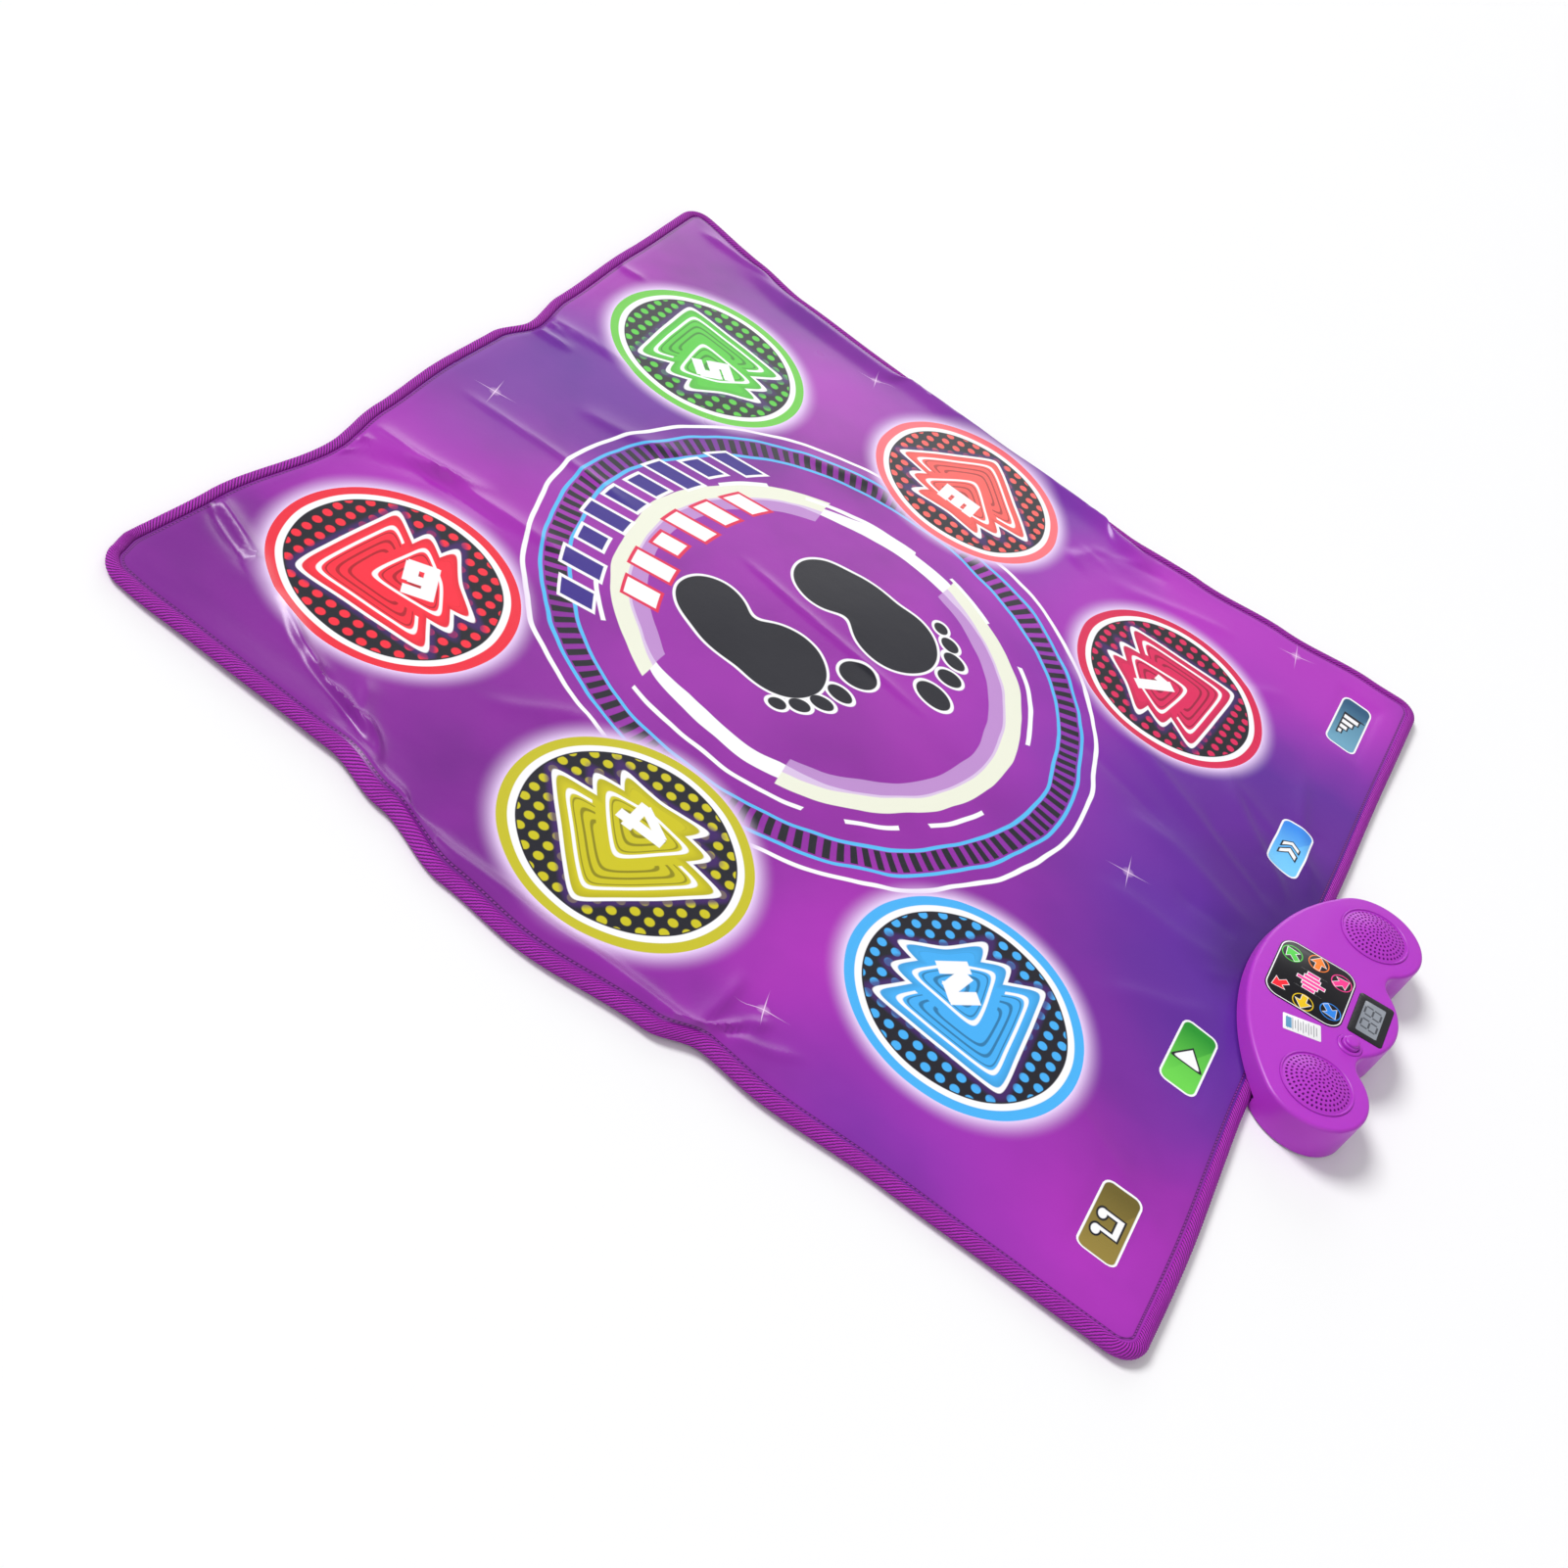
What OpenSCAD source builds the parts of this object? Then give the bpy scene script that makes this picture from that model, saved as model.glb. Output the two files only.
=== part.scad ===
// Folding dance mat with six arrow pads, four mat keys and a sloping control box.
// Origin: underside of the mat at its centre. +Z up, +Y away from the control box.

/* [Mat] */
// Width of the mat across X
mat_w = 930; // [900:1:1200]
// Length of the mat along Y
mat_l = 915; // [880:1:1100]
// Corner radius of the mat
corner_r = 24; // [16:1:40]
// Thickness of the non-slip backing
backing_t = 1.2; // [0.8:0.1:2]
// Thickness of the printed circuit film
film_t = 0.4; // [0.3:0.1:0.8]
// Thickness of the foam spacer
foam_t = 5.2; // [4.6:0.1:9]
// Thickness of the printed cover
cover_t = 1.2; // [0.8:0.1:2]
// Width of the edge binding
binding_w = 10; // [6:1:14]
// How far the binding stands above the cover
binding_rise = 1; // [0.4:0.1:2]
// Gap between the binding and the layers inside it
seam_gap = 0.3; // [0.2:0.1:0.8]

/* [Folds] */
// Y of the fold between the near and middle panels
near_fold_y = -98.5; // [-110:0.5:-90]
// Y of the fold between the middle and far panels
far_fold_y = 172.5; // [165:0.5:180]
// Gap between two panels at a fold
fold_gap = 0.4; // [0.3:0.1:1]
// How far foam and film stop short of a fold
fold_relief = 3; // [1:0.5:6]

/* [Arrow pads] */
// Radius of an arrow pad
pad_r = 100; // [80:1:104]
// Gap around each pad and key
pad_gap = 0.3; // [0.3:0.1:1]
// X of the two side pads
side_pad_x = 331; // [300:1:338]
// Y of the two side pads
side_pad_y = 36; // [30:1:44]
// X of the two far pads
far_pad_x = 254; // [200:1:300]
// Y of the two far pads
far_pad_y = 309; // [300:1:330]
// X of the two near pads
near_pad_x = 257; // [200:1:300]
// Y of the two near pads
near_pad_y = -233; // [-240:1:-215]
// Thickness of a contact puck under a pad
puck_t = 3; // [2:0.1:3.4]
// How much smaller the puck's radius is than the pad's
puck_margin = 8; // [4:1:20]

/* [Mat keys] */
// Width of a mat key across X
key_w = 73; // [50:1:76]
// Depth of a mat key along Y
key_l = 34; // [24:1:36]
// Corner radius of a mat key
key_r = 8; // [4:1:10]
// Y of the row of mat keys
key_y = -400; // [-404:1:-380]
// X of the outer left key
song_key_x = -350; // [-380:1:-320]
// X of the inner left key
start_key_x = -156; // [-165:1:-150]
// X of the inner right key
mode_key_x = 155; // [140:1:170]
// X of the outer right key
level_key_x = 382; // [340:1:390]

/* [Control box] */
// X of the box's centre line
box_x = -16; // [-18:1:-14]
// How far the line through the speakers lies outside the mat's edge
speaker_line = 34.5; // [33:0.5:36]
// Distance from the centre line to each speaker lobe
lobe_x = 103; // [100:1:110]
// Radius of each speaker lobe
lobe_r = 45.5; // [44:0.5:50]
// How far the mat-side arc reaches past the speaker line
arc_reach = 82.5; // [80:0.5:90]
// Radius of the front display bump
bump_r = 61.5; // [60:0.5:64]
// How far the bump's centre lies behind the speaker line
bump_y = 15; // [12:0.5:18]
// Radius of the notch between lobe and bump
notch_r = 18; // [12:1:20]
// Height of the top at the speaker line
box_h = 33; // [32:0.5:44]
// Slope of the top towards the mat, in degrees
tilt = 7; // [3:0.5:8]
// Wall thickness of the shells
wall = 2.4; // [1.8:0.1:2.6]
// Thickness of the bottom shell's floors
floor_t = 2; // [1.6:0.1:3]
// Height of the rubber feet
foot_h = 1.5; // [1:0.1:2.5]
// Gap between pieces that fit together
fit = 0.3; // [0.2:0.05:0.4]

/* [Top fittings] */
// Hole radius under a speaker grille
grille_hole_r = 26.5; // [24:0.5:27]
// Radius of a speaker grille's flange
grille_r = 29.8; // [29:0.1:32]
// Height of a grille's dome
dome_h = 3.2; // [2:0.1:5]
// Wall of the grille dome
dome_t = 1.4; // [1:0.1:2]
// Depth of the grille flange's seat
grille_seat = 1.2; // [1:0.1:1.4]
// Radius of one grille hole
perf_r = 1.1; // [0.8:0.1:1.4]
// Width of the display bezel
bezel_w = 52; // [50:1:60]
// Depth of the display bezel
bezel_l = 31; // [28:1:32]
// Border of the bezel around its window
bezel_border = 6; // [4:0.5:8]
// Depth of the display bezel's seat
bezel_seat = 0.9; // [0.6:0.1:1.2]
// Distance of the display's centre in front of the speaker line
display_y = -21.6; // [-23:0.2:-20]
// Radius of the power button's cap
button_r = 7.5; // [6:0.5:8]
// Height of the button above the top
button_rise = 6.5; // [4:0.5:9]
// Button position from the box's centre, X then Y
button_pos = [-42, -13];
// Button travel
button_travel = 1.5; // [1:0.1:1.5]
// Width of the icon panel
icon_w = 76; // [70:1:84]
// Depth of the icon panel
icon_l = 70; // [64:1:72]
// Icon panel position from the box's centre, X then Y
icon_pos = [2, 34];
// Thickness of the icon panel
icon_t = 0.5; // [0.3:0.1:0.8]
// Radius of one indicator lamp
led_r = 2.5; // [1.5:0.1:2.5]

/* [Electronics] */
// Thickness of the circuit board
board_t = 1.6; // [1:0.1:1.6]
// Depth of the board's upper face below the top
board_depth = 7.6; // [7:0.1:7.6]
// Diameter of a battery cell
cell_d = 14.5; // [10:0.5:14.5]
// Length of a battery cell
cell_l = 50.5; // [44:0.5:52]
// Radius of the screws' shanks
screw_r = 1.4; // [1:0.1:1.5]
// Radius of the screws' heads
head_r = 2.8; // [2.2:0.1:3]
// Thickness of the mat clamp plate
clamp_t = 2; // [1.6:0.1:2]
// Depth of the mat clamp plate along Y
clamp_l = 14; // [12:1:14]
// Width of the flat ribbon tail
ribbon_w = 20; // [12:1:24]

/* [Hidden] */
$fn = 64;
eps = 0.01;

// Heights of the mat's layers
film_z = backing_t;
foam_z = film_z + film_t;
cover_z = foam_z + foam_t;
mat_t = cover_z + cover_t;
binding_h = mat_t + binding_rise;

// Panels from the control box outwards: 0 near, 1 middle, 2 far
panel_lo = [-mat_l / 2, near_fold_y + fold_gap / 2, far_fold_y + fold_gap / 2];
panel_hi = [near_fold_y - fold_gap / 2, far_fold_y - fold_gap / 2, mat_l / 2];

// Centre and panel of arrow pads 1 to 6
pads = [[near_pad_x, near_pad_y, 0], [-near_pad_x, near_pad_y, 0],
    [side_pad_x, side_pad_y, 1], [-side_pad_x, side_pad_y, 1],
    [far_pad_x, far_pad_y, 2], [-far_pad_x, far_pad_y, 2]];
key_xs = [song_key_x, start_key_x, mode_key_x, level_key_x];
key_puck_margin = 6;

// Control box places
mat_edge_y = -mat_l / 2;
box_y = mat_edge_y - speaker_line;
box_pos = [box_x, box_y];
edge_clear = 0.8;
over_mat_z = mat_t + 0.4;
over_binding_z = binding_h + fit;
high_floor_z = over_binding_z + floor_t;
riser_y = mat_edge_y - edge_clear;
riser_t = 2.4;
low_floor_z = foot_h + floor_t;
arc_r = (lobe_x * lobe_x + arc_reach * arc_reach - lobe_r * lobe_r) / (2 * (arc_reach - lobe_r));
arc_c = [0, arc_reach - arc_r];
bump_c = [0, bump_y];
lobe_c = [lobe_x, 0];

// The notch circle touches the lobe and the bump from outside
lobe_gap = lobe_r + notch_r;
bump_gap = bump_r + notch_r;
span = norm(lobe_c - bump_c);
along = (bump_gap * bump_gap - lobe_gap * lobe_gap + span * span) / (2 * span);
drop = sqrt(bump_gap * bump_gap - along * along);
span_dir = (lobe_c - bump_c) / span;
notch_c = bump_c + along * span_dir + drop * [span_dir[1], -span_dir[0]];

// Battery bay
cell_pitch = cell_d + 0.5;
cell_z = low_floor_z + fit + cell_d / 2;
contact_room = 2.5;
bay_half_x = cell_l / 2 + contact_room;
bay_half_y = cell_pitch + cell_d / 2 + fit;
bay_wall = 1.4;
bay_roof_z = cell_z + cell_d / 2 + fit;
bay_roof_t = 1.2;
bay_y = 1;
door_t = 1.8;

// Screw places from the box's centre
low_posts = [[-62, 5], [62, 5]];
high_posts = [[-50, 54.5], [50, 54.5]];
post_r = 4;
seat_r = 5;
seat_h = 2.5;
head_h = 1.8;
board_posts = [[-44, 38], [44, 38], [44, -12]];
board_screw_r = 1.1;
clamp_y = 54.5;
clamp_xs = [-70, -25, 25, 70];
clamp_w = 160;
clamp_lift = 0.4;
clamp_boss_r = 3.5;
clamp_room_z = clamp_lift + clamp_t + fit;
clamp_seat_h = 1;
ribbon_y = 70;
ribbon_t = 0.5;
led_spots = [[-21, 23], [21, 23], [-27.5, 0], [27.5, 0], [-20, -23], [20, -23]];
button_flange_r = 9;
speaker_r = 30;
switch_h = 1.8;

// Points of an arc about c from angle a0 to a1
function arc(c, r, a0, a1, n) =
    [for (i = [0:n]) c + r * [cos(a0 + (a1 - a0) * i / n), sin(a0 + (a1 - a0) * i / n)]];

function angle_of(v) = atan2(v[1], v[0]);

// Rounded rectangle about the origin
function rounded(w, l, r) = concat(
    arc([w / 2 - r, l / 2 - r], r, 0, 90, 8), arc([r - w / 2, l / 2 - r], r, 90, 180, 8),
    arc([r - w / 2, r - l / 2], r, 180, 270, 8), arc([w / 2 - r, r - l / 2], r, 270, 360, 8));

// Half of the control box outline, from the middle of the bump round to the top of the arc
function half_outline(inset) = concat(
    arc(bump_c, bump_r - inset, -90, angle_of(notch_c - bump_c), 8),
    arc(notch_c, notch_r + inset, angle_of(bump_c - notch_c), angle_of(lobe_c - notch_c), 8),
    arc(lobe_c, lobe_r - inset, angle_of(notch_c - lobe_c), angle_of(lobe_c - arc_c), 24),
    arc(arc_c, arc_r - inset, angle_of(lobe_c - arc_c), 90, 16));

function box_outline(inset) = let (half = half_outline(inset), n = len(half))
    concat(half, [for (i = [1:n - 2]) [-half[n - 1 - i][0], half[n - 1 - i][1]]]);

module panel_band(k, back) {
    lo = panel_lo[k] + (k > 0 ? back : -1);
    hi = panel_hi[k] - (k < 2 ? back : -1);
    translate([-mat_w, lo]) square([2 * mat_w, hi - lo]);
}

module layer(k, inset, z, t, back) {
    translate([0, 0, z]) linear_extrude(t) intersection() {
        polygon(rounded(mat_w - 2 * inset, mat_l - 2 * inset, corner_r - inset));
        panel_band(k, back);
    }
}

module key_shape(x, grow, z, t) {
    translate([x, key_y, z]) linear_extrude(t)
        polygon(rounded(key_w + 2 * grow, key_l + 2 * grow, key_r + grow));
}

// Holes for the pads and keys of one panel
module pad_holes(k, z, t) {
    for (p = pads) if (p[2] == k)
        translate([p[0], p[1], z - eps]) cylinder(h = t + 2 * eps, r = pad_r + pad_gap, $fn = 120);
    if (k == 0) for (x = key_xs) key_shape(x, pad_gap, z - eps, t + 2 * eps);
}

// Pocket for the clamp plate, from the mat's underside
module clamp_pocket() {
    translate([box_x - clamp_w / 2 - fit, box_y + clamp_y - clamp_l / 2 - fit, -1])
        cube([clamp_w + 2 * fit, clamp_l + 2 * fit, clamp_room_z + 1]);
}

// Holes through the mat for the clamp bosses and the ribbon
module box_holes(from_z) {
    for (x = clamp_xs) translate([box_x + x, box_y + clamp_y, -1])
        cylinder(h = mat_t + 2, r = clamp_boss_r + fit);
    translate([box_x - ribbon_w / 2 - 1, box_y + ribbon_y - 1.5, from_z])
        cube([ribbon_w + 2, 3, mat_t]);
}

module backing(k) {
    color("dimgray") difference() {
        layer(k, binding_w + seam_gap, 0, backing_t, 0);
        if (k == 0) clamp_pocket();
    }
}

module circuit(k) {
    color("lightgray") difference() {
        layer(k, binding_w + seam_gap + 1, film_z, film_t, fold_relief);
        if (k == 0) clamp_pocket();
    }
}

module foam(k) {
    color("whitesmoke") difference() {
        layer(k, binding_w + seam_gap + 1, foam_z, foam_t, fold_relief);
        pad_holes(k, foam_z, foam_t);
        if (k == 0) clamp_pocket();
        if (k == 0) box_holes(foam_z - eps);
    }
}

module cover(k) {
    color("darkorchid") difference() {
        layer(k, binding_w + seam_gap, cover_z, cover_t, 0);
        pad_holes(k, cover_z, cover_t);
        if (k == 0) box_holes(cover_z - eps);
    }
}

module binding(k) {
    color("mediumvioletred") difference() {
        layer(k, 0, 0, binding_h, 0);
        translate([0, 0, -1]) linear_extrude(binding_h + 2)
            polygon(rounded(mat_w - 2 * binding_w, mat_l - 2 * binding_w, corner_r - binding_w));
    }
}

module arrow_pad(i) {
    tints = ["crimson", "deepskyblue", "salmon", "gold", "limegreen", "red"];
    color(tints[i]) translate([pads[i][0], pads[i][1], cover_z])
        cylinder(h = cover_t, r = pad_r, $fn = 120);
}

module pad_puck(i) {
    color("gray") translate([pads[i][0], pads[i][1], cover_z - puck_t])
        cylinder(h = puck_t, r = pad_r - puck_margin, $fn = 96);
}

module mat_key(i) {
    tints = ["olive", "limegreen", "lightskyblue", "steelblue"];
    color(tints[i]) key_shape(key_xs[i], 0, cover_z, cover_t);
}

module key_puck(i) {
    color("gray") key_shape(key_xs[i], -key_puck_margin, cover_z - puck_t, puck_t);
}

// Frame on the sloping top: origin on the speaker line, local Z out of the face
module on_top(p = [0, 0]) {
    translate([box_x, box_y, box_h]) rotate([-tilt, 0, 0]) translate([p[0], p[1], 0]) children();
}

module above_top(depth) {
    on_top() translate([-300, -300, depth]) cube([600, 600, 200]);
}

module box_prism(inset, z0, z1) {
    translate([box_x, box_y, z0]) linear_extrude(z1 - z0) polygon(box_outline(inset));
}

module slab_on_top(w, l, r, z0, z1) {
    translate([0, 0, z0]) linear_extrude(z1 - z0) polygon(rounded(w, l, r));
}

module shell_post(p, z0) {
    difference() {
        translate([box_x + p[0], box_y + p[1], z0]) cylinder(h = box_h, r = post_r);
        above_top(-wall / 2);
    }
}

module upper_shell() {
    color("mediumorchid") difference() {
        union() {
            difference() {
                box_prism(0, foot_h, box_h + 20);
                above_top(0);
                difference() {
                    box_prism(wall, foot_h - 1, box_h + 20);
                    above_top(-wall);
                }
            }
            for (p = low_posts) shell_post(p, low_floor_z + seat_h);
            for (p = high_posts) shell_post(p, high_floor_z + seat_h);
            for (p = board_posts) on_top(p) translate([0, 0, -board_depth])
                cylinder(h = board_depth - wall / 2, r = 3);
            on_top(button_pos) translate([0, 0, -eps]) cylinder(h = 1, r = button_r + 3);
        }
        // The mat and its binding pass under the arc
        translate([-mat_w / 2, mat_edge_y - edge_clear, -1])
            cube([mat_w, mat_l / 2, over_mat_z + 1]);
        translate([-mat_w / 2, mat_edge_y - edge_clear, -1])
            cube([mat_w, binding_w + 2 * edge_clear, over_binding_z + 1]);
        for (x = [-lobe_x, lobe_x]) on_top([x, 0]) {
            translate([0, 0, -wall - 1]) cylinder(h = wall + 2, r = grille_hole_r);
            translate([0, 0, -grille_seat]) cylinder(h = grille_seat + 1, r = grille_r + fit);
        }
        on_top(button_pos) translate([0, 0, -wall - 1]) cylinder(h = wall + 4, r = button_r + fit);
        on_top([0, display_y]) {
            slab_on_top(bezel_w - bezel_border, bezel_l - bezel_border, 2, -wall - 1, 1);
            slab_on_top(bezel_w + fit, bezel_l + fit, 3 + fit / 2, -bezel_seat, 1);
        }
        for (s = led_spots) on_top(icon_pos + s) translate([0, 0, -wall - 1])
            cylinder(h = wall + 2, r = led_r + fit);
        for (p = concat(low_posts, high_posts)) translate([box_x + p[0], box_y + p[1], -1])
            cylinder(h = 20, r = screw_r + 0.1);
        for (p = board_posts) on_top(p) translate([0, 0, -board_depth - 1])
            cylinder(h = 5, r = board_screw_r + 0.1);
    }
}

module lower_shell() {
    inner = wall + fit;
    color("mediumorchid") difference() {
        union() {
            intersection() {
                box_prism(inner, foot_h, low_floor_z);
                translate([-mat_w / 2, riser_y - mat_w, 0]) cube([mat_w, mat_w, mat_w]);
            }
            intersection() {
                box_prism(inner, foot_h, high_floor_z);
                translate([-mat_w / 2, riser_y - riser_t, 0]) cube([mat_w, riser_t, mat_w]);
            }
            intersection() {
                box_prism(inner, over_binding_z, high_floor_z);
                translate([-mat_w / 2, riser_y - riser_t, 0]) cube([mat_w, mat_w, mat_w]);
            }
            translate([box_x - bay_half_x - bay_wall, box_y + bay_y - bay_half_y - bay_wall, foot_h])
                cube([2 * (bay_half_x + bay_wall), 2 * (bay_half_y + bay_wall),
                    bay_roof_z + bay_roof_t - foot_h]);
            for (p = low_posts) translate([box_x + p[0], box_y + p[1], foot_h])
                cylinder(h = floor_t + seat_h, r = seat_r);
            for (p = high_posts) translate([box_x + p[0], box_y + p[1], over_binding_z])
                cylinder(h = floor_t + seat_h, r = seat_r);
            for (x = clamp_xs) translate([box_x + x, box_y + clamp_y, clamp_room_z])
                cylinder(h = high_floor_z + clamp_seat_h - clamp_room_z, r = clamp_boss_r);
        }
        // Battery bay, open at the bottom
        translate([box_x - bay_half_x, box_y + bay_y - bay_half_y, 0])
            cube([2 * bay_half_x, 2 * bay_half_y, bay_roof_z]);
        for (p = low_posts) translate([box_x + p[0], box_y + p[1], 0]) {
            cylinder(h = 20, r = screw_r + 0.3);
            cylinder(h = foot_h + seat_h, r = head_r + fit);
        }
        for (p = high_posts) translate([box_x + p[0], box_y + p[1], 0]) {
            cylinder(h = 20, r = screw_r + 0.3);
            cylinder(h = over_binding_z + seat_h, r = head_r + fit);
        }
        for (x = clamp_xs) translate([box_x + x, box_y + clamp_y, 0])
            cylinder(h = 20, r = screw_r + 0.1);
        translate([box_x - ribbon_w / 2 - 1, box_y + ribbon_y - 1.5, 0])
            cube([ribbon_w + 2, 3, high_floor_z + 1]);
    }
}

// Perforated dome on a flange that drops into the shell's seat
module speaker_grille(x) {
    dome_r = (grille_hole_r * grille_hole_r + dome_h * dome_h) / (2 * dome_h);
    color("orchid") on_top([x, 0]) difference() {
        union() {
            translate([0, 0, -grille_seat]) cylinder(h = grille_seat, r = grille_r);
            intersection() {
                translate([0, 0, dome_h - dome_r]) sphere(r = dome_r);
                translate([0, 0, -grille_seat]) cylinder(h = 20, r = grille_hole_r);
            }
        }
        intersection() {
            translate([0, 0, dome_h - dome_r]) sphere(r = dome_r - dome_t);
            translate([0, 0, -grille_seat - 1]) cylinder(h = 20, r = grille_hole_r - 2);
        }
        for (ring = [1:4], i = [0:6 * ring - 1]) rotate([0, 0, i * 60 / ring + 7 * ring])
            translate([5.4 * ring, 0, -2]) cylinder(h = 10, r = perf_r, $fn = 16);
    }
}

// Speaker driver: rim, cone and magnet turned in one piece
module speaker(x) {
    color("darkslategray") on_top([x, 0]) rotate_extrude($fn = 72)
        polygon([[0, -21], [15, -21], [15, -14.5], [11, -14.5], [24, -wall - 2.2],
            [speaker_r, -wall - 2.2], [speaker_r, -wall], [24.5, -wall], [9, -11], [0, -11]]);
}

module display_bezel() {
    color("black") on_top([0, display_y]) difference() {
        slab_on_top(bezel_w, bezel_l, 3, -bezel_seat, 0.5);
        slab_on_top(bezel_w - 2 * bezel_border, bezel_l - 2 * bezel_border, 1.5, -2, 1);
    }
}

module display_window() {
    color("slategray") on_top([0, display_y]) slab_on_top(bezel_w - 2 * bezel_border - fit,
        bezel_l - 2 * bezel_border - fit, 1.5 - fit / 2, -bezel_seat, 0.2);
}

module display_module() {
    w = bezel_w - bezel_border - 2;
    l = bezel_l - bezel_border - 1;
    color("gray") on_top([0, display_y]) slab_on_top(w, l, 1, -board_depth, -bezel_seat - fit);
}

module power_button() {
    color("orchid") on_top(button_pos) {
        translate([0, 0, -wall - fit - 1.3]) cylinder(h = 1.3, r = button_flange_r);
        translate([0, 0, -wall - fit - eps]) cylinder(h = wall + fit + button_rise - 2.5, r = button_r);
        translate([0, 0, button_rise - 2.6]) cylinder(h = 2.6, r = button_r - 1.5);
    }
}

module power_switch() {
    color("black") on_top(button_pos) translate([-4, -4, -board_depth]) cube([8, 8, switch_h]);
}

module main_board() {
    color("green") on_top() difference() {
        translate([0, 0, -board_depth - board_t]) linear_extrude(board_t) union() {
            translate([-48, -17]) square([96, 61]);
            translate([-38, 40]) square([76, 22]);
            translate([-24, -34]) square([48, 20]);
        }
        for (p = board_posts) translate([p[0], p[1], -board_depth - board_t - 1])
            cylinder(h = board_t + 2, r = board_screw_r + 0.3);
    }
}

module icon_panel() {
    color("black") on_top(icon_pos) slab_on_top(icon_w, icon_l, 14, 0, icon_t);
}

module arrow_leds() {
    for (s = led_spots) color("white") on_top(icon_pos + s) translate([0, 0, -board_depth])
        cylinder(h = board_depth - 0.6, r = led_r);
}

module label_sticker() {
    color("white") on_top([-53, 27]) rotate([0, 0, 16]) slab_on_top(18, 33, 1, 0, 0.25);
}

module battery_door() {
    color("mediumorchid") translate([box_x - bay_half_x + fit, box_y + bay_y - bay_half_y + fit, foot_h])
        cube([2 * (bay_half_x - fit), 2 * (bay_half_y - fit), door_t]);
}

module battery_cells() {
    for (i = [-1:1]) color("goldenrod") translate([box_x, box_y + bay_y + i * cell_pitch, cell_z])
        rotate([0, 90, 0]) cylinder(h = cell_l, d = cell_d, center = true);
}

module battery_contacts() {
    for (i = [-1:1], s = [-1, 1])
        color("silver") translate([box_x + s * (bay_half_x - 1.1), box_y + bay_y + i * cell_pitch, cell_z])
            rotate([0, 90, 0]) {
                cylinder(h = 2, r = 3, center = true);
                translate([-5, -5, s * 0.7 - 0.2]) cube([10, 10, 0.4]);
            }
}

module screw(head_z, len) {
    translate([0, 0, head_z - head_h]) cylinder(h = head_h, r = head_r);
    translate([0, 0, head_z - eps]) cylinder(h = len, r = screw_r);
}

module shell_screws() {
    for (p = low_posts) color("silver") translate([box_x + p[0], box_y + p[1], 0])
        screw(foot_h + seat_h - 0.1, 10);
    for (p = high_posts) color("silver") translate([box_x + p[0], box_y + p[1], 0])
        screw(over_binding_z + seat_h - 0.1, 7);
}

module board_screws() {
    for (p = board_posts) color("silver") on_top(p) {
        translate([0, 0, -board_depth - board_t - 1.5]) cylinder(h = 1.4, r = 2.2);
        translate([0, 0, -board_depth - board_t - 0.2]) cylinder(h = board_t + 3.5, r = board_screw_r);
    }
}

module clamp_plate() {
    color("dimgray") difference() {
        translate([box_x - clamp_w / 2, box_y + clamp_y - clamp_l / 2, clamp_lift])
            cube([clamp_w, clamp_l, clamp_t]);
        for (x = clamp_xs) translate([box_x + x, box_y + clamp_y, 0]) {
            cylinder(h = 10, r = screw_r + 0.3);
            cylinder(h = clamp_lift + clamp_seat_h, r = head_r + fit);
        }
    }
}

module clamp_screws() {
    for (x = clamp_xs) color("silver") translate([box_x + x, box_y + clamp_y, 0]) {
        translate([0, 0, clamp_lift]) cylinder(h = clamp_seat_h - 0.1, r = head_r);
        translate([0, 0, clamp_lift + clamp_seat_h - 0.2]) cylinder(h = 9.5, r = screw_r);
    }
}

module rubber_feet() {
    for (p = [[-lobe_x, 0, 9], [lobe_x, 0, 9], [0, -34, 6]])
        color("dimgray") translate([box_x + p[0], box_y + p[1], 0]) cylinder(h = foot_h, r = p[2]);
}

// Flat tail from the film through the mat, then back under the board's edge
module ribbon_tail() {
    rise = 15.7;
    color("gainsboro") translate([box_x - ribbon_w / 2, box_y + ribbon_y, 0])
        rotate([90, 0, 90]) linear_extrude(ribbon_w)
            polygon([[0, foam_z], [ribbon_t, foam_z], [ribbon_t, rise + ribbon_t],
                [-15, rise + ribbon_t], [-15, rise], [0, rise]]);
}

backing(0);  // backing_near
backing(1);  // backing_middle
backing(2);  // backing_far
circuit(0);  // circuit_near
circuit(1);  // circuit_middle
circuit(2);  // circuit_far
foam(0);  // foam_near
foam(1);  // foam_middle
foam(2);  // foam_far
cover(0);  // cover_near
cover(1);  // cover_middle
cover(2);  // cover_far
binding(0);  // binding_near
binding(1);  // binding_middle
binding(2);  // binding_far
arrow_pad(0);  // arrow_pad_1
arrow_pad(1);  // arrow_pad_2
arrow_pad(2);  // arrow_pad_3
arrow_pad(3);  // arrow_pad_4
arrow_pad(4);  // arrow_pad_5
arrow_pad(5);  // arrow_pad_6
pad_puck(0);  // pad_puck_1
pad_puck(1);  // pad_puck_2
pad_puck(2);  // pad_puck_3
pad_puck(3);  // pad_puck_4
pad_puck(4);  // pad_puck_5
pad_puck(5);  // pad_puck_6
mat_key(0);  // song_key
mat_key(1);  // start_key
mat_key(2);  // mode_key
mat_key(3);  // level_key
key_puck(0);  // song_puck
key_puck(1);  // start_puck
key_puck(2);  // mode_puck
key_puck(3);  // level_puck
upper_shell();
lower_shell();
speaker_grille(-lobe_x);  // speaker_grille_left
speaker_grille(lobe_x);  // speaker_grille_right
speaker(-lobe_x);  // speaker_left
speaker(lobe_x);  // speaker_right
display_bezel();
display_window();
display_module();
power_button();
power_switch();
main_board();
icon_panel();
arrow_leds();
label_sticker();
battery_door();
battery_cells();
battery_contacts();
shell_screws();
board_screws();
clamp_plate();
clamp_screws();
rubber_feet();
ribbon_tail();
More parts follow.
